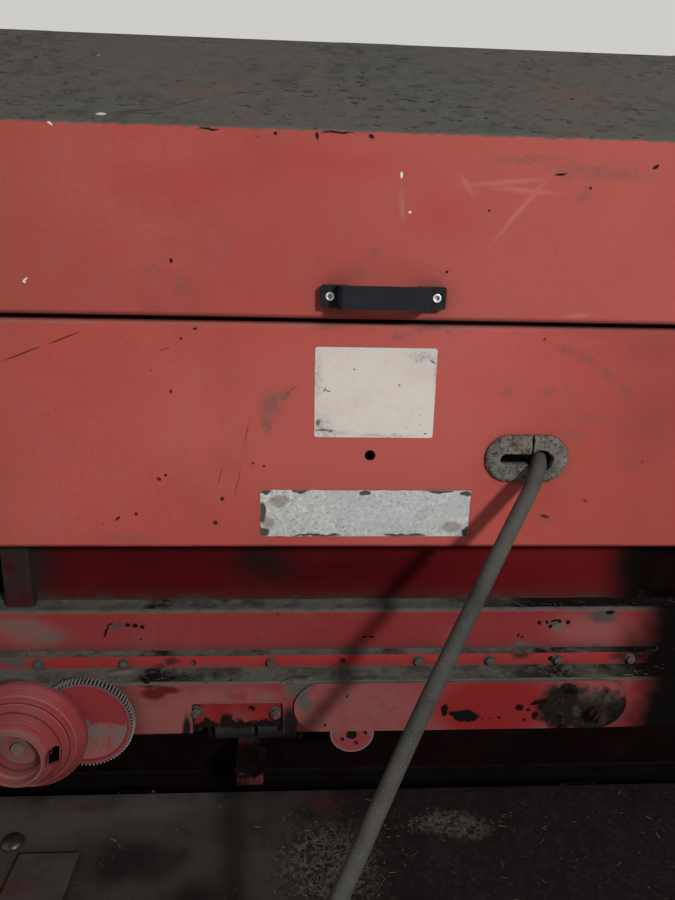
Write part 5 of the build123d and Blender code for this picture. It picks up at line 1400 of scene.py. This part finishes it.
class TWINEBOX_OT_spring(bpy.types.Operator):
    """Flat spring coil behind the tensioner's washers"""

    bl_idname = "twine_box.spring"
    bl_label = "Add Tensioner Spring"

    def execute(self, context):
        colours = context.scene.twine_box_colours
        oil, steel = tints(colours, "oil", "steel")
        low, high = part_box("tensioner_bolt")
        axis = (low + high) / 2
        wire, coil = 0.9 * MM, 8.6 * MM
        shape = bmesh.new()
        bmesh.ops.create_circle(shape, cap_ends=True, segments=8, radius=wire,
                                matrix=Matrix.Translation((axis.x + coil, guide_face - wire, axis.z)))
        turns, steps, rise = 2.4, 60, 4.2 * MM
        bmesh.ops.spin(shape, geom=shape.verts[:] + shape.edges[:] + shape.faces[:], cent=(axis.x, 0, axis.z),
                       axis=(0, 1, 0), dvec=(0, -rise / steps, 0), angle=turns * 2 * pi, steps=steps)
        bmesh.ops.remove_doubles(shape, verts=shape.verts, dist=1e-6)
        bmesh.ops.recalc_face_normals(shape, faces=shape.faces)
        coat = Finish("spring_steel_dirty", steel(0.4), 0.45, 0.5)
        coat.layer(coat.noise(150, 0.35, 0.6), oil(1.5), 0.5, 0.05 * MM)
        coat.layer(coat.noise(90, 0.55, 0.72, at=(2, 0, 0)), colours.rust, 0.9)
        add_mesh("tensioner_spring", shape, coat.done())
        return {"FINISHED"}


def drift(shape, end, y, level, high, seed):
    """Patchy dust on a ledge from -end to end and y[0] to y[1] in millimetres, thickest at its back."""
    wide, deep = 2 * end * MM, (y[1] - y[0]) * MM
    first = len(shape.verts)
    bmesh.ops.create_grid(shape, x_segments=max(8, int(wide / (5 * MM))), y_segments=6, size=0.5,
                          matrix=Matrix.Translation((0, (y[0] + y[1]) / 2 * MM, level))
                          @ Matrix.Diagonal((wide, deep, 1, 1)))
    shape.verts.ensure_lookup_table()
    own = shape.verts[first:]
    faces = [face for face in shape.faces if face.verts[0] in set(own)]
    for vert in own:
        back = (vert.co.y - y[0] * MM) / deep
        cloud = 0.5 + 0.5 * noise.noise(Vector((vert.co.x * 22 + seed, vert.co.y * 30, 0)))
        grain = 0.15 * noise.noise(Vector((vert.co.x * 260, vert.co.y * 260, seed)))
        vert.co.z += high * max(0.0, (0.5 + 0.5 * cloud) * (0.25 + 0.75 * back * back) + grain - 0.15)
    grown = bmesh.ops.extrude_face_region(shape, geom=faces)["geom"]
    for vert in only(grown, bmesh.types.BMVert):
        vert.co.z = level - 0.2 * MM


class TWINEBOX_OT_dust(bpy.types.Operator):
    """Dust lying in drifts on the ledges and heaped round the bolts, with painted shadow at the right"""

    bl_idname = "twine_box.dust"
    bl_label = "Add Dust"

    def execute(self, context):
        colours = context.scene.twine_box_colours
        dust, oil = tints(colours, "dust", "oil")
        dirt = context.scene.twine_box_dirt
        dice = random.Random(dirt.seed + 2)
        high = dirt.drift_height
        shape = bmesh.new()
        drift(shape, 588, (lower_face / MM + 4, strip_face / MM), ledge_top, high, 1.0)
        drift(shape, 588, (strip_face / MM + 1, beam_face / MM), strip_top, high * 0.8, 5.0)
        drift(shape, 640, (beam_face / MM + 6, -247), beam_top, high * 1.2, 9.0)
        heap = lump(0.30, 4.0)
        for x, y, wide, deep, tall in ((-93, -312, 20, 7, 2.5), (-321, -290, 20, 8, 3.5), (262, -291, 20, 8, 3)):
            stamp(shape, heap, (x * MM, y * MM, ledge_top), turn=dice.uniform(0, 0.5),
                  scale=(wide * MM, deep * MM, tall * MM))
        bpy.data.meshes.remove(heap)
        bmesh.ops.recalc_face_normals(shape, faces=shape.faces)

        powder = Finish("dust_dry", dust(1.12), 0.97, shine=0.02)
        powder.layer(powder.noise(26, 0.4, 0.66), dust(0.62))
        powder.layer((powder.noise(90, 0.5, 0.72, at=(4, 0, 0)), 0.8), dust(1.25), height=0.3 * MM)
        powder.layer((powder.noise(14, 0.52, 0.66, at=(0, 6, 0)), 0.8), oil(2.2))
        pale, dark = powder.grains(450, 0.34, 0.25)
        powder.layer(pale, dust(1.6), height=0.25 * MM)
        powder.layer(dark, dust(0.35), height=0.2 * MM)
        powder.layer((powder.spots(((-277, 0, 30, 900), (250, 0, 60, 900)), "XY", warp=30, full=0.6),
                      powder.noise(60, 0.3, 0.6)), oil(1.4))
        # Painted shadow on the dust at the right: over the right end, and under the box on the upper ledge, in the
        # colours of oil.
        ragged = powder.ragged("X", 14, 50 * MM)
        powder.layer((powder.span(ragged, 0.31, 0.39), powder.span(ragged, *RIGHT_SHADOW_ENDS)), oil(0.6))
        powder.layer((powder.span(ragged, 0.205, 0.27), powder.span(powder.along("Y"), -0.2725, -0.27),
                      powder.span(ragged, *RIGHT_SHADOW_ENDS)), oil(1.0))
        add_mesh("ledge_dust", shape, powder.done(), smooth=70)
        return {"FINISHED"}


class TWINEBOX_OT_grease(bpy.types.Operator):
    """Lumps of grease and oily dirt on the beam and round the rollers"""

    bl_idname = "twine_box.grease"
    bl_label = "Add Grease"

    def execute(self, context):
        colours = context.scene.twine_box_colours
        dust, oil = tints(colours, "dust", "oil")
        dice = random.Random(context.scene.twine_box_dirt.seed + 3)
        blob = lump(0.35, 11.0, 2)
        shape = bmesh.new()

        def crust(count, middle, spread, size, flat):
            """Small lumps crowded about a place in millimetres; flat is the axis they are thin along."""
            for _ in range(count):
                place = [at + dice.gauss(0, 0.5) * reach for at, reach in zip(middle, spread)]
                grow = dice.uniform(0.5, 1.3)
                scale = [part * grow * MM for part in size]
                scale[flat] *= 0.35
                stamp(shape, blob, [part * MM for part in place], turn=dice.uniform(0, 0.6), scale=scale)

        crust(26, (-276, -304, ledge_top / MM), (26, 10, 0), (6, 4, 4), 2)
        crust(14, (-160, bracket_face / MM, -442), (60, 0, 5), (4.0, 2.0, 2.6), 1)
        crust(6, (-229, bracket_face / MM, -434), (3, 0, 16), (2.4, 2.0, 3.4), 1)
        crust(12, (-158, -298, -527), (16, 8, 2), (4.0, 3.6, 3.0), 2)
        bpy.data.meshes.remove(blob)
        grease = Finish("grease_lumpy", oil(0.85), 0.75, shine=0.05)
        grease.layer(grease.noise(60, 0.42, 0.68), dust(0.14), 0.85, 0.3 * MM)
        grease.layer(grease.noise(130, 0.45, 0.7, at=(5, 0, 0)), oil(0.6), 0.4, 0.4 * MM)
        pale, dark = grease.grains(420, 0.30, 0.16)
        grease.layer((pale, 0.8), dust(0.35), 0.9, 0.2 * MM)
        add_mesh("grease_lumps", shape, grease.done(), smooth=60)
        return {"FINISHED"}


def chaff_finish(name, dark, pale):
    """Chopped straw and husks: every flake has its own tone."""
    flake = Finish(name, dark, 0.85)
    tone = flake.node("ShaderNodeNewGeometry", {}, output=8)
    flake.layer(flake.span(tone, 0.55, 0.60), blend(dark, pale, 0.45))
    flake.layer(flake.span(tone, 0.80, 0.84), pale)
    flake.layer(flake.noise(300, 0.40, 0.70), shade(pale, 0.5), height=0.05 * MM)
    return flake.done()


# Where flakes lie on the ledges: level, and front and back in millimetres
CHAFF_LEDGES = (
    (ledge_top + 1.2 * MM, -315, -288), (strip_top + MM, -284, -275), (beam_top + 1.2 * MM, -270, -250),
    (ledge_top + 1.2 * MM, -312, -288),
)


class TWINEBOX_OT_chaff(bpy.types.Operator):
    """Chopped straw and husks on the lid, ledges and deck"""

    bl_idname = "twine_box.chaff"
    bl_label = "Add Chaff"

    def execute(self, context):
        colours = context.scene.twine_box_colours
        dust = partial(shade, colours.dust)
        dirt = context.scene.twine_box_dirt
        dice = random.Random(dirt.seed + 4)
        straw = bmesh.new()
        bmesh.ops.create_cone(straw, cap_ends=True, segments=4, radius1=1.0, radius2=0.7, depth=2.0)
        straw = as_part(straw)

        def fall(shape, place, along, long, wide, up=(0, 0, 1)):
            """One flake, long and wide in millimetres, lying flat on a surface and turned about its upright."""
            long, wide = long * MM / 2, wide * MM / 2
            across = Vector((cos(along), sin(along), 0))
            run = (across - Vector(up) * across.dot(Vector(up))).normalized()
            stamp(shape, straw, Vector(place) + Vector(up) * wide * 0.35, run, 0.0, (wide, wide * 0.5, long))

        slope = (0, -sin(lid_slope), cos(lid_slope))
        shape = bmesh.new()
        count = 0
        while count < dirt.lid_chaff:
            x, y = dice.uniform(-648, 648), -299 + 270 * dice.random() ** 1.25
            if abs(x) > 656 - (y + 300) * 0.16:     # the lid narrows towards its back
                continue
            crowd = 0.5 + 0.5 * noise.noise(Vector((x * 0.012, y * 0.02, 3.0)))
            crowd += 0.35 if x > -40 and y < -200 else 0.0
            if dice.random() > crowd:
                continue
            fall(shape, on_lid(x, y), dice.gauss(0, 0.55), dice.choice((2.0, 2.6, 3.5, 5.0, 7.5)),
                 dice.uniform(0.6, 1.6), slope)
            count += 1
        add_mesh("lid_chaff", shape, chaff_finish("chaff_lid", (0.013, 0.012, 0.009), dust(0.8)), "lid")

        shape = bmesh.new()
        for _ in range(dirt.ledge_chaff):
            x = dice.uniform(-585, 585)
            level, y = dice.choice([(level, dice.uniform(front, back)) for level, front, back in CHAFF_LEDGES])
            fall(shape, (x * MM, y * MM, level), dice.gauss(0, 0.7), dice.choice((2, 3, 4, 6, 9, 14)),
                 dice.uniform(0.5, 1.2))
        for _ in range(60):
            place = (dice.gauss(268, 18) * MM, dice.uniform(-313, -290) * MM, ledge_top + dice.uniform(1, 5) * MM)
            fall(shape, place, dice.uniform(0, pi), dice.uniform(5, 16), dice.uniform(0.6, 1.1))
        place = Vector(COIL_CENTRE)
        reach = context.scene.twine_box_hose.outer_turn + 12 * MM
        count = 0
        while count < dirt.deck_chaff:
            spot = dice.random()    # two heaps, and the rest all over the deck
            if spot < 0.36:
                x, y = dice.gauss(-52, 34), dice.gauss(-402, 34)
            elif spot < 0.48:
                x, y = dice.gauss(118, 40), dice.gauss(-346, 12)
            else:
                x, y = dice.uniform(-550, 550), dice.uniform(-778, -284)
            if not (-552 < x < 552 and -780 < y < -283) or (Vector((x * MM, y * MM)) - place).length < reach:
                continue
            heaped = dice.uniform(0, 2.5) if spot < 0.36 else 0.0
            fall(shape, (x * MM, y * MM, deck_top + heaped * MM), dice.uniform(0, pi),
                 dice.choice((2, 2, 3, 3, 4, 6, 9)), dice.uniform(0.5, 1.1))
            count += 1
        bpy.data.meshes.remove(straw)
        pale = blend(shade(colours.straw, 0.45), dust(2.0), 0.5)
        add_mesh("deck_chaff", shape, chaff_finish("chaff_deck", dust(0.4), pale))
        return {"FINISHED"}


class TWINEBOX_PT_parts(bpy.types.Panel):
    """Lists the pieces and finishes in the sidebar."""

    bl_idname = "TWINEBOX_PT_parts"
    bl_label = "Twine Box"
    bl_space_type = "VIEW_3D"
    bl_region_type = "UI"
    bl_category = "Twine Box"

    def draw(self, context):
        layout = self.layout
        for operator in OPERATORS:
            layout.operator(operator.bl_idname)
        for name in GROUPS:
            group = getattr(context.scene, name)
            box = layout.box()
            for key in group.bl_rna.properties.keys():
                if key not in ("rna_type", "name"):
                    box.prop(group, key)


GROUPS = {
    "twine_box_stage": TwineBoxStage,
    "twine_box_hose": TwineBoxHose,
    "twine_box_trim": TwineBoxTrim,
    "twine_box_dirt": TwineBoxDirt,
    "twine_box_colours": TwineBoxColours,
}
OPERATORS = (
    TWINEBOX_OT_stage, TWINEBOX_OT_hose, TWINEBOX_OT_box_paint, TWINEBOX_OT_beam_paint, TWINEBOX_OT_shade_paint,
    TWINEBOX_OT_deck_paint, TWINEBOX_OT_drive_paint, TWINEBOX_OT_fittings, TWINEBOX_OT_grommet, TWINEBOX_OT_labels,
    TWINEBOX_OT_bolts, TWINEBOX_OT_welds, TWINEBOX_OT_spring, TWINEBOX_OT_dust, TWINEBOX_OT_grease,
    TWINEBOX_OT_chaff,
)


def register():
    for item in (*GROUPS.values(), *OPERATORS, TWINEBOX_PT_parts):
        bpy.utils.register_class(item)
    for name, group in GROUPS.items():
        setattr(bpy.types.Scene, name, PointerProperty(type=group))


def unregister():
    for name in reversed(GROUPS):
        delattr(bpy.types.Scene, name)
    for item in reversed((*GROUPS.values(), *OPERATORS, TWINEBOX_PT_parts)):
        bpy.utils.unregister_class(item)


def main():
    register()
    steps = bpy.ops.twine_box
    steps.stage()
    steps.hose()
    steps.box_paint()
    steps.beam_paint()
    steps.shade_paint()
    steps.deck_paint()
    steps.drive_paint()
    steps.fittings()
    steps.grommet()
    steps.labels()
    steps.bolts()
    steps.welds()
    steps.spring()
    steps.dust()
    steps.grease()
    steps.chaff()


if __name__ == "__main__":
    main()
